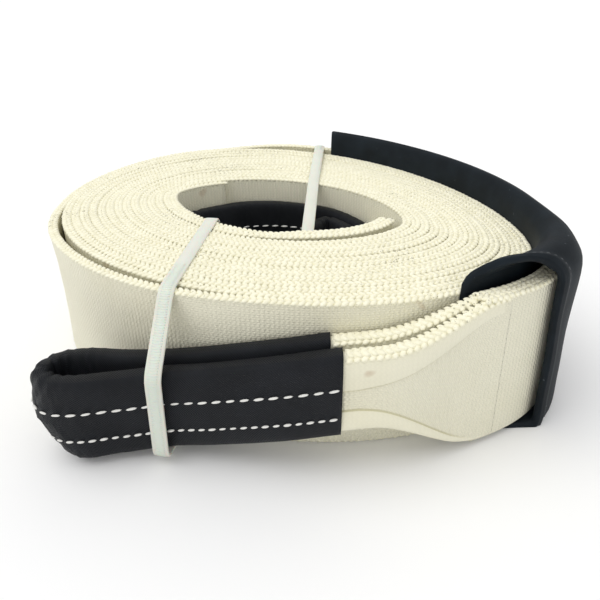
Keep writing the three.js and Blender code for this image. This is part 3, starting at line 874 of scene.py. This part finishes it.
def bead_rows_tree():
    """Geometry Nodes that lay beads, such as knots, stitches or rungs, along rows of edges."""
    tree = bpy.data.node_groups.new("Beads along rows", "GeometryNodeTree")
    sockets = (
        ("Rows", "INPUT", "NodeSocketGeometry"), ("Pitch", "INPUT", "NodeSocketFloat"),
        ("Size", "INPUT", "NodeSocketVector"), ("Slant", "INPUT", "NodeSocketFloat"),
        ("Jitter", "INPUT", "NodeSocketFloat"), ("Seed", "INPUT", "NodeSocketInt"),
        ("Segments", "INPUT", "NodeSocketInt"), ("Rings", "INPUT", "NodeSocketInt"),
        ("Material", "INPUT", "NodeSocketMaterial"), ("Beads", "OUTPUT", "NodeSocketGeometry"))
    for name, side, kind in sockets:
        tree.interface.new_socket(name, in_out=side, socket_type=kind)
    start = tree.nodes.new("NodeGroupInput").outputs
    curve = node(tree, "GeometryNodeMeshToCurve", {"Mesh": start["Rows"]}).outputs[0]
    spaced = node(tree, "GeometryNodeResampleCurve", {"Curve": curve, "Length": start["Pitch"]},
                  mode="LENGTH")
    up = node(tree, "GeometryNodeInputNamedAttribute", {"Name": "up"}, data_type="FLOAT_VECTOR")
    side = node(tree, "GeometryNodeInputNamedAttribute", {"Name": "side"}, data_type="FLOAT")
    tangent = node(tree, "GeometryNodeInputTangent").outputs[0]
    stood = node(tree, "FunctionNodeAxesToRotation", {0: up.outputs[0], 1: tangent},
                 primary_axis="Z", secondary_axis="X").outputs[0]
    slant = calc(tree, "MULTIPLY", side.outputs[0], start["Slant"])
    turn = node(tree, "ShaderNodeCombineXYZ", {2: slant}).outputs[0]
    turn = node(tree, "FunctionNodeEulerToRotation", {0: turn}).outputs[0]
    rotation = node(tree, "FunctionNodeRotateRotation", {0: stood, 1: turn}, rotation_space="LOCAL")
    sphere = node(tree, "GeometryNodeMeshUVSphere",
                  {"Segments": start["Segments"], "Rings": start["Rings"], "Radius": 0.5}).outputs[0]
    bead = node(tree, "GeometryNodeTransform", {"Geometry": sphere, "Scale": start["Size"]}).outputs[0]
    least = calc(tree, "SUBTRACT", 1.0, start["Jitter"])
    most = calc(tree, "ADD", 1.0, start["Jitter"])
    scale = tree.nodes.new("FunctionNodeRandomValue")
    scale.data_type = "FLOAT"
    floats = [socket for socket in scale.inputs if socket.type == "VALUE"]
    tree.links.new(least, floats[0])
    tree.links.new(most, floats[1])
    tree.links.new(start["Seed"], scale.inputs["Seed"])
    size = [socket for socket in scale.outputs if socket.type == "VALUE"][0]
    placed = node(tree, "GeometryNodeInstanceOnPoints",
                  {"Points": spaced.outputs[0], "Instance": bead, "Rotation": rotation.outputs[0],
                   "Scale": size})
    real = node(tree, "GeometryNodeRealizeInstances", {"Geometry": placed.outputs[0]}).outputs[0]
    smooth = node(tree, "GeometryNodeSetShadeSmooth", {"Geometry": real}).outputs[0]
    done = node(tree, "GeometryNodeSetMaterial", {"Geometry": smooth, "Material": start["Material"]})
    node(tree, "NodeGroupOutput", {0: done.outputs[0]})
    return tree


def bead_rows(name, rows, pitch, size, slant, material, segments=6, rings=4, jitter=0.08, seed=3):
    """A plain mesh of beads along rows, which keeps no modifier.

    Each row is a line of points, the side it slants to, and its offset in pitches, with the points'
    own upward directions after them where they aren't straight up.
    """
    corners, edges, ups, sides = [], [], [], []
    for line, side, offset, *normals in rows:
        run = run_length(line)
        keep = run >= offset * pitch
        line = line[keep]
        up = normals[0][keep] if normals else np.tile([0.0, 0.0, 1.0], (len(line), 1))
        first = len(corners)
        corners.extend(line.tolist())
        ups.extend(up.tolist())
        sides.extend([side] * len(line))
        edges.extend((first + k, first + k + 1) for k in range(len(line) - 1))
    mesh = bpy.data.meshes.new(name + "_rows")
    mesh.from_pydata(corners, edges, [])
    mesh.attributes.new("up", "FLOAT_VECTOR", "POINT").data.foreach_set("vector", np.ravel(ups))
    mesh.attributes.new("side", "FLOAT", "POINT").data.foreach_set("value", np.array(sides, float))
    piece = bpy.data.objects.new(name, mesh)
    bpy.context.scene.collection.objects.link(piece)
    tree = bpy.data.node_groups.get("Beads along rows") or bead_rows_tree()
    modifier = piece.modifiers.new("Beads", "NODES")
    modifier.node_group = tree
    values = {"Pitch": pitch, "Size": size, "Slant": slant, "Jitter": jitter, "Seed": seed,
              "Segments": segments, "Rings": rings, "Material": material}
    for item in tree.interface.items_tree:
        if item.name in values:
            modifier[item.identifier] = values[item.name]
    bpy.context.view_layer.update()
    seen = piece.evaluated_get(bpy.context.evaluated_depsgraph_get())
    baked = bpy.data.meshes.new_from_object(seen)
    piece.modifiers.clear()
    piece.data = baked
    baked.name = name
    if len(baked.polygons) == 0:
        raise RuntimeError(name + " came out empty")
    return piece


class STRAP_OT_stage(bpy.types.Operator):
    """Place the camera, the lights and the pale floor"""

    bl_idname = "strap.stage"
    bl_label = "Stage"

    def execute(self, context):
        settings = context.scene.strap_stage
        camera = bpy.data.cameras.new("camera")
        camera.lens = settings.lens
        camera.sensor_width = SENSOR
        camera.shift_y = settings.shift
        camera.clip_start = 0.01
        holder = bpy.data.objects.new("camera", camera)
        holder.location = Vector(settings.camera_place) + Vector((*CENTRE, 0))
        holder.rotation_euler = (math.pi / 2 - settings.camera_pitch, 0, 0)
        context.scene.collection.objects.link(holder)
        context.scene.camera = holder
        self.floor(context, settings)
        lamp = bpy.data.lights.new("key", "SUN")
        lamp.energy = settings.key_strength
        lamp.angle = settings.key_spread
        key = bpy.data.objects.new("key", lamp)
        key.rotation_euler = Vector(KEY_FROM).to_track_quat("Z", "Y").to_euler()
        context.scene.collection.objects.link(key)
        world = bpy.data.worlds.new("studio")
        world.use_nodes = True
        background = world.node_tree.nodes["Background"]
        background.inputs["Color"].default_value = (1, 1, 1, 1)
        background.inputs["Strength"].default_value = settings.sky
        context.scene.world = world
        context.scene.view_settings.view_transform = "Standard"
        return {"FINISHED"}

    def floor(self, context, settings):
        half = settings.floor_size / 2
        mesh = bpy.data.meshes.new("floor")
        corners = [(-half, -half, 0), (half, -half, 0), (half, half, 0), (-half, half, 0)]
        mesh.from_pydata(corners, [], [(0, 1, 2, 3)])
        material, _, shader = new_material("studio_floor")
        shader.inputs["Base Color"].default_value = opaque(settings.floor_colour)
        shader.inputs["Roughness"].default_value = 0.9
        mesh.materials.append(material)
        floor = bpy.data.objects.new("floor", mesh)
        context.scene.collection.objects.link(floor)


def turn_gap_shade(w):
    """Painted shade for each point of the long ply, by how far it lies between turns: 1 deep down, less at
    the hidden corners, 0 where it shows.
    """
    side, share, out = TEMPLATE[:, 0], TEMPLATE[:, 1], TEMPLATE[:, 2]
    deep = (share < 1) & (share > 0)
    outside_shows = w > TURNS - 0.98
    inside_shows = (w < 0.42) & (w > -0.02)
    hidden = np.where(side[None, :] > 0, ~outside_shows[:, None], ~inside_shows[:, None])
    gap_shade = np.where(deep, 1.0, 0.25 * (np.abs(out) > 0.8))
    return hidden * gap_shade


class STRAP_OT_rolled_webbing(bpy.types.Operator):
    """Wind the webbing up into its roll, with both sewn ends and their braided edges"""

    bl_idname = "strap.rolled_webbing"
    bl_label = "Rolled webbing"

    def execute(self, context):
        settings = context.scene.strap_webbing
        ribbed = webbing_material(settings, True)
        webbing_material(settings, False)
        braid = knot_material(settings)
        w, strap = long_ply()
        # Painted shade deep between the turns
        gap_shade = ("painted_shade", turn_gap_shade(w))
        mesh = lofted("rolled_webbing", strap.rings(), strap.along, [ribbed], attribute=gap_shade)
        sewn_object("rolled_webbing", mesh, ["webbing"])
        ends = {"inner_sewn_ply": inner_sewn_ply(), "outer_sewn_ply": outer_sewn_ply()}
        for name, line in ends.items():
            plain = ("painted_shade", np.zeros((len(line.points), len(TEMPLATE))))
            mesh = lofted(name, line.rings(), line.along, [ribbed], attribute=plain)
            sewn_object(name, mesh)
        half = len(w) // 2
        for name, part in (("inner", slice(0, half + 1)), ("outer", slice(half, len(w)))):
            line = Line(*(value[part] for value in (
                strap.points, strap.normals, strap.thick, strap.low, strap.high, strap.lean)))
            self.braid(name + "_turns_top_braid", line, True, settings, braid)
        self.braid("turns_bottom_braid", strap, False, settings, braid, 4, 3)
        for name, line in ends.items():
            self.braid(name + "_braid", line, True, settings, braid)
        return {"FINISHED"}

    def braid(self, name, line, top, settings, material, segments=6, rings=4):
        rows = line.edge_rows(BRAID_ROWS, top, TOP_BRAID_SINK if top else BOTTOM_BRAID_SINK)
        piece = bead_rows(name, rows, settings.knot_pitch, settings.knot_size, settings.knot_slant,
                          material, segments, rings)
        finish_piece(piece)


def folded_rings(points, normals, run, middle, fold):
    """Rings of an eye's leg, narrowed by a flap folded over at its top and another at its foot."""
    folded = ramp(run, *fold)
    half = lerp(PLY, FOLD_THICK, folded) / 2
    tall = lerp(WEB_WIDTH, FOLD_WIDTH, folded) / 2
    reach = np.clip((run - FLAP_RUN[0]) / (FLAP_RUN[1] - FLAP_RUN[0]), 0, 1)
    step = FLAP_STEP * ramp(run, *FLAP_STEP_RUN)
    top, foot = middle + tall, middle - tall
    flap_top = top - lerp(*FLAP_TOP, reach)
    flap_foot = foot + lerp(*FLAP_FOOT, reach)
    arc = np.linspace(0, math.pi, FOLD_ARC)
    rows = [(half * np.cos(turn), top - half + half * np.sin(turn)) for turn in arc]
    rows += [(-half, middle)]
    rows += [(-half * np.cos(turn), foot + half - half * np.sin(turn)) for turn in arc]
    rows += [
        (half, lerp(foot + half, flap_foot, FLAP_SHARE)),
        (half - FLAP_ROUND * step, flap_foot),
        (half - step, flap_foot + FLAP_CREASE),
        (half - step, flap_foot + FLAP_SHADOW),
        (half - step, (flap_foot + flap_top) / 2),
        (half - step, flap_top - FLAP_SHADOW),
        (half - step, flap_top - FLAP_CREASE),
        (half - FLAP_ROUND * step, flap_top),
        (half, lerp(top - half, flap_top, FLAP_SHARE))]
    across = np.stack([np.broadcast_to(a, run.shape) for a, _ in rows], 1)
    up = np.stack([np.broadcast_to(u, run.shape) for _, u in rows], 1)
    return stand_rings(points, normals, across, up), half, top


class STRAP_OT_eye_webbing(bpy.types.Operator):
    """Fold the webbing of both eyes lengthwise, between the crotch and the sleeve"""

    bl_idname = "strap.eye_webbing"
    bl_label = "Folded eye webbing"

    def execute(self, context):
        settings = context.scene.strap_webbing
        eyes = (
            ("outer_eye", outer_eye_route(), outer_height, OUTER_FOLD, OUTER_SLEEVE_FROM),
            ("inner_eye", inner_eye_route(), inner_height, INNER_FOLD, INNER_SLEEVE_FROM))
        rows = []
        for name, route, height, fold, sleeve in eyes:
            points, normals, run = smooth_route(route, LEG_SPACING)
            middle = len(run) // 2
            legs = (("first", -1, np.arange(middle)), ("second", 1, np.arange(len(run) - 1, middle, -1)))
            for leg, side, index in legs:
                index = index[run[index] < sleeve + COVERED]
                rows += self.leg(f"{name}_{leg}_leg", points[index], side * normals[index], run[index],
                                 height(run[index]), fold, sleeve)
        piece = bead_rows("eye_fold_braid", rows, settings.knot_pitch, settings.knot_size,
                          settings.knot_slant, bpy.data.materials["webbing_braid"])
        finish_piece(piece)
        return {"FINISHED"}

    def leg(self, name, points, normals, run, middle, fold, uncovered):
        rings, half, top = folded_rings(points, normals, run, middle, fold)
        strips = np.ones(rings.shape[1], int)
        strips[list(RIBBED_COLUMNS)] = 0
        # Painted shadow along the flaps' raised edges
        edges = np.zeros(rings.shape[:2])
        edges[:, list(FLAP_EDGE_POINTS)] = FLAP_EDGE_SHADE * ramp(run, *FLAP_EDGE_SHADE_RUN)[:, None]
        materials = [bpy.data.materials["webbing_ribbed"], bpy.data.materials["webbing_smooth"]]
        mesh = lofted(name, rings, run_length(points), materials, strips=strips,
                      attribute=("painted_shade", edges))
        sewn_object(name, mesh)
        rows = []
        for number, share in enumerate(FOLD_BRAID_ROWS):
            plan = points + (share * half)[:, None] * normals
            drop = half * (1 - math.sqrt(1 - share * share))
            line = np.concatenate([plan, (top - drop - FOLD_BRAID_SINK)[:, None]], 1)
            rows.append((line[run < uncovered], 1 if number % 2 else -1, 0.5 * (number % 2)))
        return rows


def sleeve_offsets(angle, grow):
    """Section of the wear sleeve at an angle, grown outwards from its inner face."""
    half = sleeve_half(angle) + grow
    low = SLEEVE_WALL - grow
    high = SLEEVE_HEIGHT - SLEEVE_WALL + grow
    outside = [(CROWN_FLAT * half, high), (CROWN_SIDE * half, high - CROWN_DROP), (half, SLEEVE_SHOULDER)]
    outside += [(half, side) for side in SIDE_HEIGHTS]
    outside += [(half, low + FOOT_RISE), (FOOT_FLAT * half, low)]
    inside = [(-across, up) for across, up in outside[::-1]]
    return np.roll(np.array(outside + inside), 3, 0)


def smooth_ring(points, count):
    """Closed ring through the points, with evenly shared samples between them."""
    size = len(points)
    share = np.arange(count) * size / count
    first = np.floor(share).astype(int)
    t = (share - first)[:, None]
    p0, p1, p2, p3 = (points[(first + k) % size] for k in (-1, 0, 1, 2))
    m1, m2 = (p2 - p0) / 2, (p3 - p1) / 2
    return ((2 * t ** 3 - 3 * t ** 2 + 1) * p1 + (t ** 3 - 2 * t ** 2 + t) * m1
            + (3 * t ** 2 - 2 * t ** 3) * p2 + (t ** 3 - t ** 2) * m2)


def hem_swell(share):
    """How far the rolled hem stands up, as a share of its height, near the sleeve's mouth."""
    return np.exp(-(((1 - share) * WEAR_LENGTH - HEM_PLACE) / HEM_SPREAD) ** 2)


def sleeve_profile(hem):
    """Shares along the sleeve with how far its skin stands out: outside, mouth, lining, back hem."""
    shares = np.linspace(0, 1, SLEEVE_STATIONS)
    turn = np.linspace(0, math.pi, 7)[1:-1]
    wall = SLEEVE_WALL
    middle = (wall - 0.2 * hem) / 2 + 0.3 * hem
    radius = (wall + 0.9 * hem) / 2
    outer = [(s, wall + HEM_OUTSIDE * hem * hem_swell(s)) for s in shares]
    lip = [(1 + radius * math.sin(t) / WEAR_LENGTH, middle + radius * math.cos(t)) for t in turn]
    inner = [(s, 0.0001 - HEM_INSIDE * hem * hem_swell(s)) for s in shares[::-1]]
    back = [(-wall / 2 * math.sin(t) / WEAR_LENGTH, wall / 2 - wall / 2 * math.cos(t)) for t in turn]
    return outer + lip + inner + back


class STRAP_OT_wear_sleeve(bpy.types.Operator):
    """Slip the smooth wear sleeve over the outer turn, with its rolled hems"""

    bl_idname = "strap.wear_sleeve"
    bl_label = "Wear sleeve"

    def execute(self, context):
        settings = context.scene.strap_sleeves
        rings = np.array([self.ring(share, grow) for share, grow in sleeve_profile(settings.hem_roll)])
        along = run_length(rings.mean(1))
        material = wear_material(settings)
        mesh = lofted("wear_sleeve_knit", rings, along, [material], closed=True)
        piece = sewn_object("wear_sleeve_knit", mesh, ["wear_sleeve"])
        self.seam()
        return {"FINISHED"}

    def ring(self, share, grow):
        """The sleeve's round at a share of the way to its mouth, which is cut askew."""
        base = smooth_ring(sleeve_offsets(SLEEVE_BACK, grow), SLEEVE_POINTS)
        half = sleeve_half(SLEEVE_BACK) + grow
        side = np.clip(0.5 + 0.5 * base[:, 0] / half, 0, 1)
        angle = lerp(SLEEVE_BACK, lerp(MOUTH_AT_ROLL, MOUTH_OUTSIDE, side), share)
        points = []
        for number, at in enumerate(angle):
            out, up = smooth_ring(sleeve_offsets(at, grow), SLEEVE_POINTS)[number]
            slack = 0.0007 * math.sin(at * 0.11 + up * 60) * ramp(up, 0.02, 0.06) * (out > 0)
            plan = roll_point(at, roll_face(at) + sleeve_middle(at) + out + slack)
            points.append((plan[0], plan[1], max(up, 0.0002)))
        return points

    def seam(self):
        """Dark stitches round most of the mouth, just behind the hem."""
        thread = thread_material("seam_thread", SEAM_COLOUR)
        share = 1 - SEAM_PLACE / WEAR_LENGTH
        line = np.array(self.ring(share, SLEEVE_WALL + 0.0002))
        above = np.array(self.ring(share, SLEEVE_WALL + 0.0012))
        up = above - line
        up /= np.linalg.norm(up, axis=1)[:, None]
        line, up = (np.roll(rows, SEAM_SHIFT, 0)[:SEAM_SPAN] for rows in (line, up))
        piece = bead_rows("wear_sleeve_seam", [(line, 0, 0.0, up)], SEAM_PITCH, SEAM_STITCH, 0.0, thread)
        finish_piece(piece)


def blunted(wave_value, power):
    """A sine or cosine pushed out towards the corners of a box."""
    return np.sign(wave_value) * np.abs(wave_value) ** power


def eye_sleeve_rings(points, normals, middle, grow, wrinkle):
    """Rings of an eye sleeve: flat faces with round folds, gathered where the eye bends."""
    half = FOLD_THICK / 2 + grow
    tall = FOLD_WIDTH / 2 + grow
    turn = np.linspace(0, 2 * math.pi, EYE_POINTS, endpoint=False)
    across = half * blunted(np.cos(turn), FACE_SQUARE)
    up = tall * blunted(np.sin(turn), FOLD_SQUARE)
    along = run_length(points)
    curve = np.gradient(np.unwrap(np.arctan2(normals[:, 1], normals[:, 0])), along)
    bend = np.clip(np.abs(curve) / TIGHT_BEND, 0, 1)
    bend = np.convolve(bend, np.ones(5) / 5, "same")
    inner = np.sign(curve)[:, None] * np.sign(across)[None, :] > 0
    crease = np.sin(along[:, None] * 2 * math.pi / GATHER_PITCH + 3 * np.sin(up[None, :] * 240))
    crease = crease + 0.5 * np.sin(along[:, None] * 2 * math.pi / CREASE_PITCH + up[None, :] * 400)
    gathers = wrinkle * bend[:, None] * crease * np.where(inner, GATHERED_FACE, PULLED_FACE)
    slow = SLOW_WAVE * np.sin(along[:, None] * 70 + up[None, :] * 110)
    spread = across[None, :] + np.sign(across)[None, :] * (gathers + slow)
    height = middle[:, None] + up[None, :] + 0.6 * gathers * (np.abs(up)[None, :] > 0.6 * tall)
    return stand_rings(points, normals, spread, height)


def tuck_share(run):
    """Where the foot of an eye's tip is drawn in towards the roll, as it lies in the photo."""
    return ramp(run, run.max() - EYE_TUCK_RUN, run.max())


class STRAP_OT_eye_sleeves(bpy.types.Operator):
    """Sew the black sleeves over both eyes, with their rows of white stitches"""

    bl_idname = "strap.eye_sleeves"
    bl_label = "Eye sleeves"

    def execute(self, context):
        settings = context.scene.strap_sleeves
        twill = twill_material(settings)
        thread = thread_material("white_thread", settings.thread_colour)
        eyes = (
            ("outer_eye", outer_eye_route(), outer_height, OUTER_SLEEVE_FROM, EYE_TUCK),
            ("inner_eye", inner_eye_route(), inner_height, INNER_SLEEVE_FROM, 0.0))
        for name, route, height, sleeve, tuck in eyes:
            points, normals, run = smooth_route(route, EYE_SPACING)
            keep = run >= sleeve
            points, normals, run = points[keep], normals[keep], run[keep]
            middle = height(run)
            wall = eye_sleeve_rings(points, normals, middle, GAP + EYE_WALL, GATHER)
            lining = eye_sleeve_rings(points, normals, middle, GAP, 0.0)
            wall, lining = (self.tucked(skin, middle, run, tuck) for skin in (wall, lining))
            rings = np.concatenate([wall, lining[::-1]])
            along = run_length(points)
            along = np.concatenate([along, along[::-1] + 2 * EYE_WALL])
            mesh = lofted(name + "_twill", rings, along, [twill], closed=True)
            piece = sewn_object(name + "_twill", mesh, [name + "_sleeve"])
            stitches = self.stitches(name, points, normals, middle, run, tuck, settings, thread)
        return {"FINISHED"}

    def tucked(self, rings, middle, run, tuck):
        depth = np.clip((middle[:, None] - rings[:, :, 2]) / (FOLD_WIDTH / 2), 0, 1)
        rings[:, :, 0] += tuck * tuck_share(run)[:, None] * depth
        return rings

    def stitches(self, name, points, normals, middle, run, tuck, settings, thread):
        made = []
        inside = slice(STITCH_MARGIN, -STITCH_MARGIN)
        rows_of_stitches = (
            ("upper", UPPER_ROW, settings.upper_pitch), ("lower", LOWER_ROW, settings.lower_pitch))
        for label, height, pitch in rows_of_stitches:
            rows = []
            for side, offset in ((-1, 0.0), (1, 0.4)):
                plan = points + side * (FOLD_THICK / 2 + GAP + EYE_WALL + STITCH_PROUD) * normals
                sway = STITCH_WAVE * np.sin(run_length(points) * 45 + 2 * height)
                line = np.concatenate([plan, (middle + height + sway)[:, None]], 1)
                line[:, 0] += tuck * tuck_share(run) * max(0, -height) / (FOLD_WIDTH / 2)
                up = np.concatenate([side * normals, np.zeros((len(points), 1))], 1)
                rows.append((line[inside], 1, offset, up[inside]))
            size = (STITCH_SHARE * pitch, settings.thread_size, settings.thread_size)
            piece = bead_rows(f"{name}_{label}_stitches", rows, pitch, size, STITCH_SLANT, thread,
                              8, 6, 0.1)
            finish_piece(piece)
            made.append(piece)
        return made


def upright_plane(first, second):
    """Start, direction and sideways direction of a plane through two plan points."""
    direction = (second - first) / np.linalg.norm(second - first)
    return first, direction, np.array([-direction[1], direction[0]])


def face_across(plane, angle, face, sense):
    """How far a face of the roll reaches in a tie's plane, over the tie's whole width."""
    origin, direction, sideways = plane
    near = angle + np.linspace(-FACE_SPAN / 2, FACE_SPAN / 2, FACE_SAMPLES + 1)
    offset = roll_point(near, face(near)) - origin
    close = np.abs(offset @ sideways) < TIE_WIDTH / 2 + FACE_MARGIN
    return sense * (np.max(sense * (offset[close] @ direction)) + TIE_CLEAR)


def eye_across(plane, route, height, sense):
    """Where an eye's legs cross a tie's plane: their farthest face, foot and top."""
    origin, direction, sideways = plane
    points, _, run = smooth_route(route, 0.001)
    offset = points - origin
    close = np.abs(offset @ sideways) < EYE_SEARCH
    reach = sense * (offset[close] @ direction)
    far = int(np.argmax(reach))
    centre = float(height(run[close])[far])
    half = FOLD_WIDTH / 2 + 2 * GAP + EYE_WALL
    return sense * (reach[far] + FOLD_THICK / 2 + 3 * GAP + EYE_WALL), centre - half, centre + half


def rounded_loop(corners, radius, steps=6):
    """Closed loop through corners, each turned with a round bend."""
    corners = np.array(corners, float)
    points = []
    for k, corner in enumerate(corners):
        before = corners[k - 1] - corner
        after = corners[(k + 1) % len(corners)] - corner
        back, on = (min(radius, 0.45 * np.linalg.norm(v)) / np.linalg.norm(v) for v in (before, after))
        start, end = corner + before * back, corner + after * on
        for t in np.linspace(0, 1, steps):
            points.append((1 - t) ** 2 * start + 2 * t * (1 - t) * corner + t * t * end)
    return np.array(points)


def dense_loop(loop, spacing):
    closed = np.concatenate([loop, loop[:1]])
    run = run_length(closed)
    even = np.linspace(0, run[-1], int(run[-1] / spacing), endpoint=False)
    return np.stack([np.interp(even, run, closed[:, k]) for k in (0, 1)], 1)


class STRAP_OT_cable_ties(bpy.types.Operator):
    """Pull the two natural nylon cable ties round the roll"""

    bl_idname = "strap.cable_ties"
    bl_label = "Cable ties"

    def execute(self, context):
        settings = context.scene.strap_ties
        self.nylon = nylon_material(settings)
        floor = TIE_FLOOR + TIE_THICK
        top = WEB_WIDTH + TIE_CLEAR
        bore, out = FRONT_BORE_ANGLE, FRONT_OUTSIDE_ANGLE
        front = upright_plane(roll_point(bore, inner_face(bore)), roll_point(out, roll_face(out)))
        inside = face_across(front, bore, inner_face, -1)
        outside = face_across(front, out, roll_face, 1)
        reach, foot, head = eye_across(front, outer_eye_route(), outer_height, 1)
        loop = [(inside, floor), (outside, floor), (reach, foot),
                (reach, head), (outside, top), (inside, top)]
        self.tie("front", front, loop, (inside, FRONT_LOCK_HEIGHT), -1, settings, FRONT_TEETH)
        bore, out = BACK_BORE_ANGLE, BACK_OUTSIDE_ANGLE
        back = upright_plane(roll_point(bore, bore_face(bore)), roll_point(out, tail_face(out)))
        inside = face_across(back, bore, bore_face, -1)
        outside = face_across(back, out, tail_face, 1)
        reach, foot, head = eye_across(back, inner_eye_route(), inner_height, -1)
        high = top + STRAP_RISE * float(in_sleeve(out))
        loop = [(inside, floor), (outside, floor), (outside, high),
                (inside, top), (reach, head), (reach, foot)]
        self.tie("back", back, loop, (outside, BACK_LOCK_HEIGHT), 1, settings, BACK_TEETH)
        return {"FINISHED"}

    def tie(self, side, plane, corners, lock, sense, settings, toothed):
        """One tie: its closed band, the rungs on the stretch that has teeth, and its lock."""
        direction = plane[1]
        loop = dense_loop(rounded_loop(corners, settings.corner), TIE_SPACING)
        heading = np.roll(loop, -1, 0) - np.roll(loop, 1, 0)
        heading /= np.linalg.norm(heading, axis=1)[:, None]
        outward = np.stack([heading[:, 1], -heading[:, 0]], 1)
        half, edge = TIE_WIDTH / 2, TIE_EDGE
        section = [(0.0, -half + edge), (0.0, half - edge), (edge, half), (TIE_THICK - edge, half),
                   (TIE_THICK, half - edge), (TIE_THICK + TIE_CROWN, 0.0), (TIE_THICK, -half + edge),
                   (TIE_THICK - edge, -half), (edge, -half)]
        rings = np.array([[self.placed(plane, at + thick * out, beside) for thick, beside in section]
                          for at, out in zip(loop, outward)])
        mesh = lofted(side + "_tie_band", rings, run_length(loop), [self.nylon], closed=True)
        sewn_object(side + "_tie_band", mesh, [side + "_cable_tie"])
        first, last = (int(share * len(loop)) for share in toothed)
        line = np.array([self.placed(plane, at + (TIE_THICK + RUNG_PROUD) * out, 0.0)
                         for at, out in zip(loop[first:last], outward[first:last])])
        up = np.array([[*(out[0] * direction), out[1]] for out in outward[first:last]])
        rungs = bead_rows(side + "_tie_rungs", [(line, 0, 0.0, up)], settings.rung_pitch,
                          RUNG_SIZE, 0.0, self.nylon, 6, 4, 0.0)
        finish_piece(rungs)
        self.head(side, plane, lock, sense)

    def placed(self, plane, at, beside):
        """A point of the tie's plane, at a distance and a height, and so far beside the plane."""
        origin, direction, sideways = plane
        plan = origin + at[0] * direction + beside * sideways
        return (plan[0], plan[1], at[1])

    def head(self, side, plane, lock, sense):
        """The lock: a round-edged block with a mouth, and the end of the tongue just out of it."""
        across, height = lock
        deep, tall, wide = LOCK_SIZE
        centre = across + sense * (TIE_SEAT + deep / 2)
        turn = np.linspace(0, 2 * math.pi, LOCK_POINTS, endpoint=False)
        outline = np.stack([blunted(np.cos(turn), LOCK_BLUNT), blunted(np.sin(turn), LOCK_BLUNT)], 1)
        rings = [[self.placed(plane, (centre + deep / 2 * grow * x, height + tall * level),
                              wide / 2 * grow * y) for x, y in outline] for level, grow in LOCK_LEVELS]
        mesh = lofted(side + "_tie_lock", np.array(rings), np.arange(len(rings)) * 0.001, [self.nylon])
        sewn_object(side + "_tie_lock", mesh)
        thin, broad = TONGUE[0] / 2, TONGUE[1] / 2
        tongue = [(-thin, -broad), (thin, -broad), (thin, broad), (-thin, broad)]
        rings = [[self.placed(plane, (centre + x, height + level), y) for x, y in tongue]
                 for level in TONGUE_LEVELS]
        mesh = lofted(side + "_tie_tongue", np.array(rings), np.arange(3) * 0.002, [self.nylon])
        sewn_object(side + "_tie_tongue", mesh)


class STRAP_PT_panel(bpy.types.Panel):
    """Lists the strap's pieces and their sizes"""

    bl_idname = "STRAP_PT_panel"
    bl_label = "Recovery strap"
    bl_space_type = "VIEW_3D"
    bl_region_type = "UI"
    bl_category = "Strap"

    def draw(self, context):
        for name, operator in PIECES:
            box = self.layout.box()
            settings = getattr(context.scene, name)
            for key in settings.bl_rna.properties.keys():
                if key not in ("rna_type", "name"):
                    box.prop(settings, key)
            box.operator(operator)


SETTINGS = {"strap_stage": StageSettings, "strap_webbing": WebbingSettings,
            "strap_sleeves": SleeveSettings, "strap_ties": TieSettings}
PIECES = (
    ("strap_stage", "strap.stage"), ("strap_webbing", "strap.rolled_webbing"),
    ("strap_webbing", "strap.eye_webbing"), ("strap_sleeves", "strap.wear_sleeve"),
    ("strap_sleeves", "strap.eye_sleeves"), ("strap_ties", "strap.cable_ties"))
CLASSES = (
    *SETTINGS.values(), STRAP_OT_stage, STRAP_OT_rolled_webbing, STRAP_OT_eye_webbing,
    STRAP_OT_wear_sleeve, STRAP_OT_eye_sleeves, STRAP_OT_cable_ties, STRAP_PT_panel)


def register():
    for item in CLASSES:
        bpy.utils.register_class(item)
    for name, group in SETTINGS.items():
        setattr(bpy.types.Scene, name, bpy.props.PointerProperty(type=group))


def unregister():
    for name in SETTINGS:
        delattr(bpy.types.Scene, name)
    for item in reversed(CLASSES):
        bpy.utils.unregister_class(item)


def main():
    register()
    bpy.ops.strap.stage()
    bpy.ops.strap.rolled_webbing()
    bpy.ops.strap.eye_webbing()
    bpy.ops.strap.wear_sleeve()
    bpy.ops.strap.eye_sleeves()
    bpy.ops.strap.cable_ties()


if __name__ == "__main__":
    main()
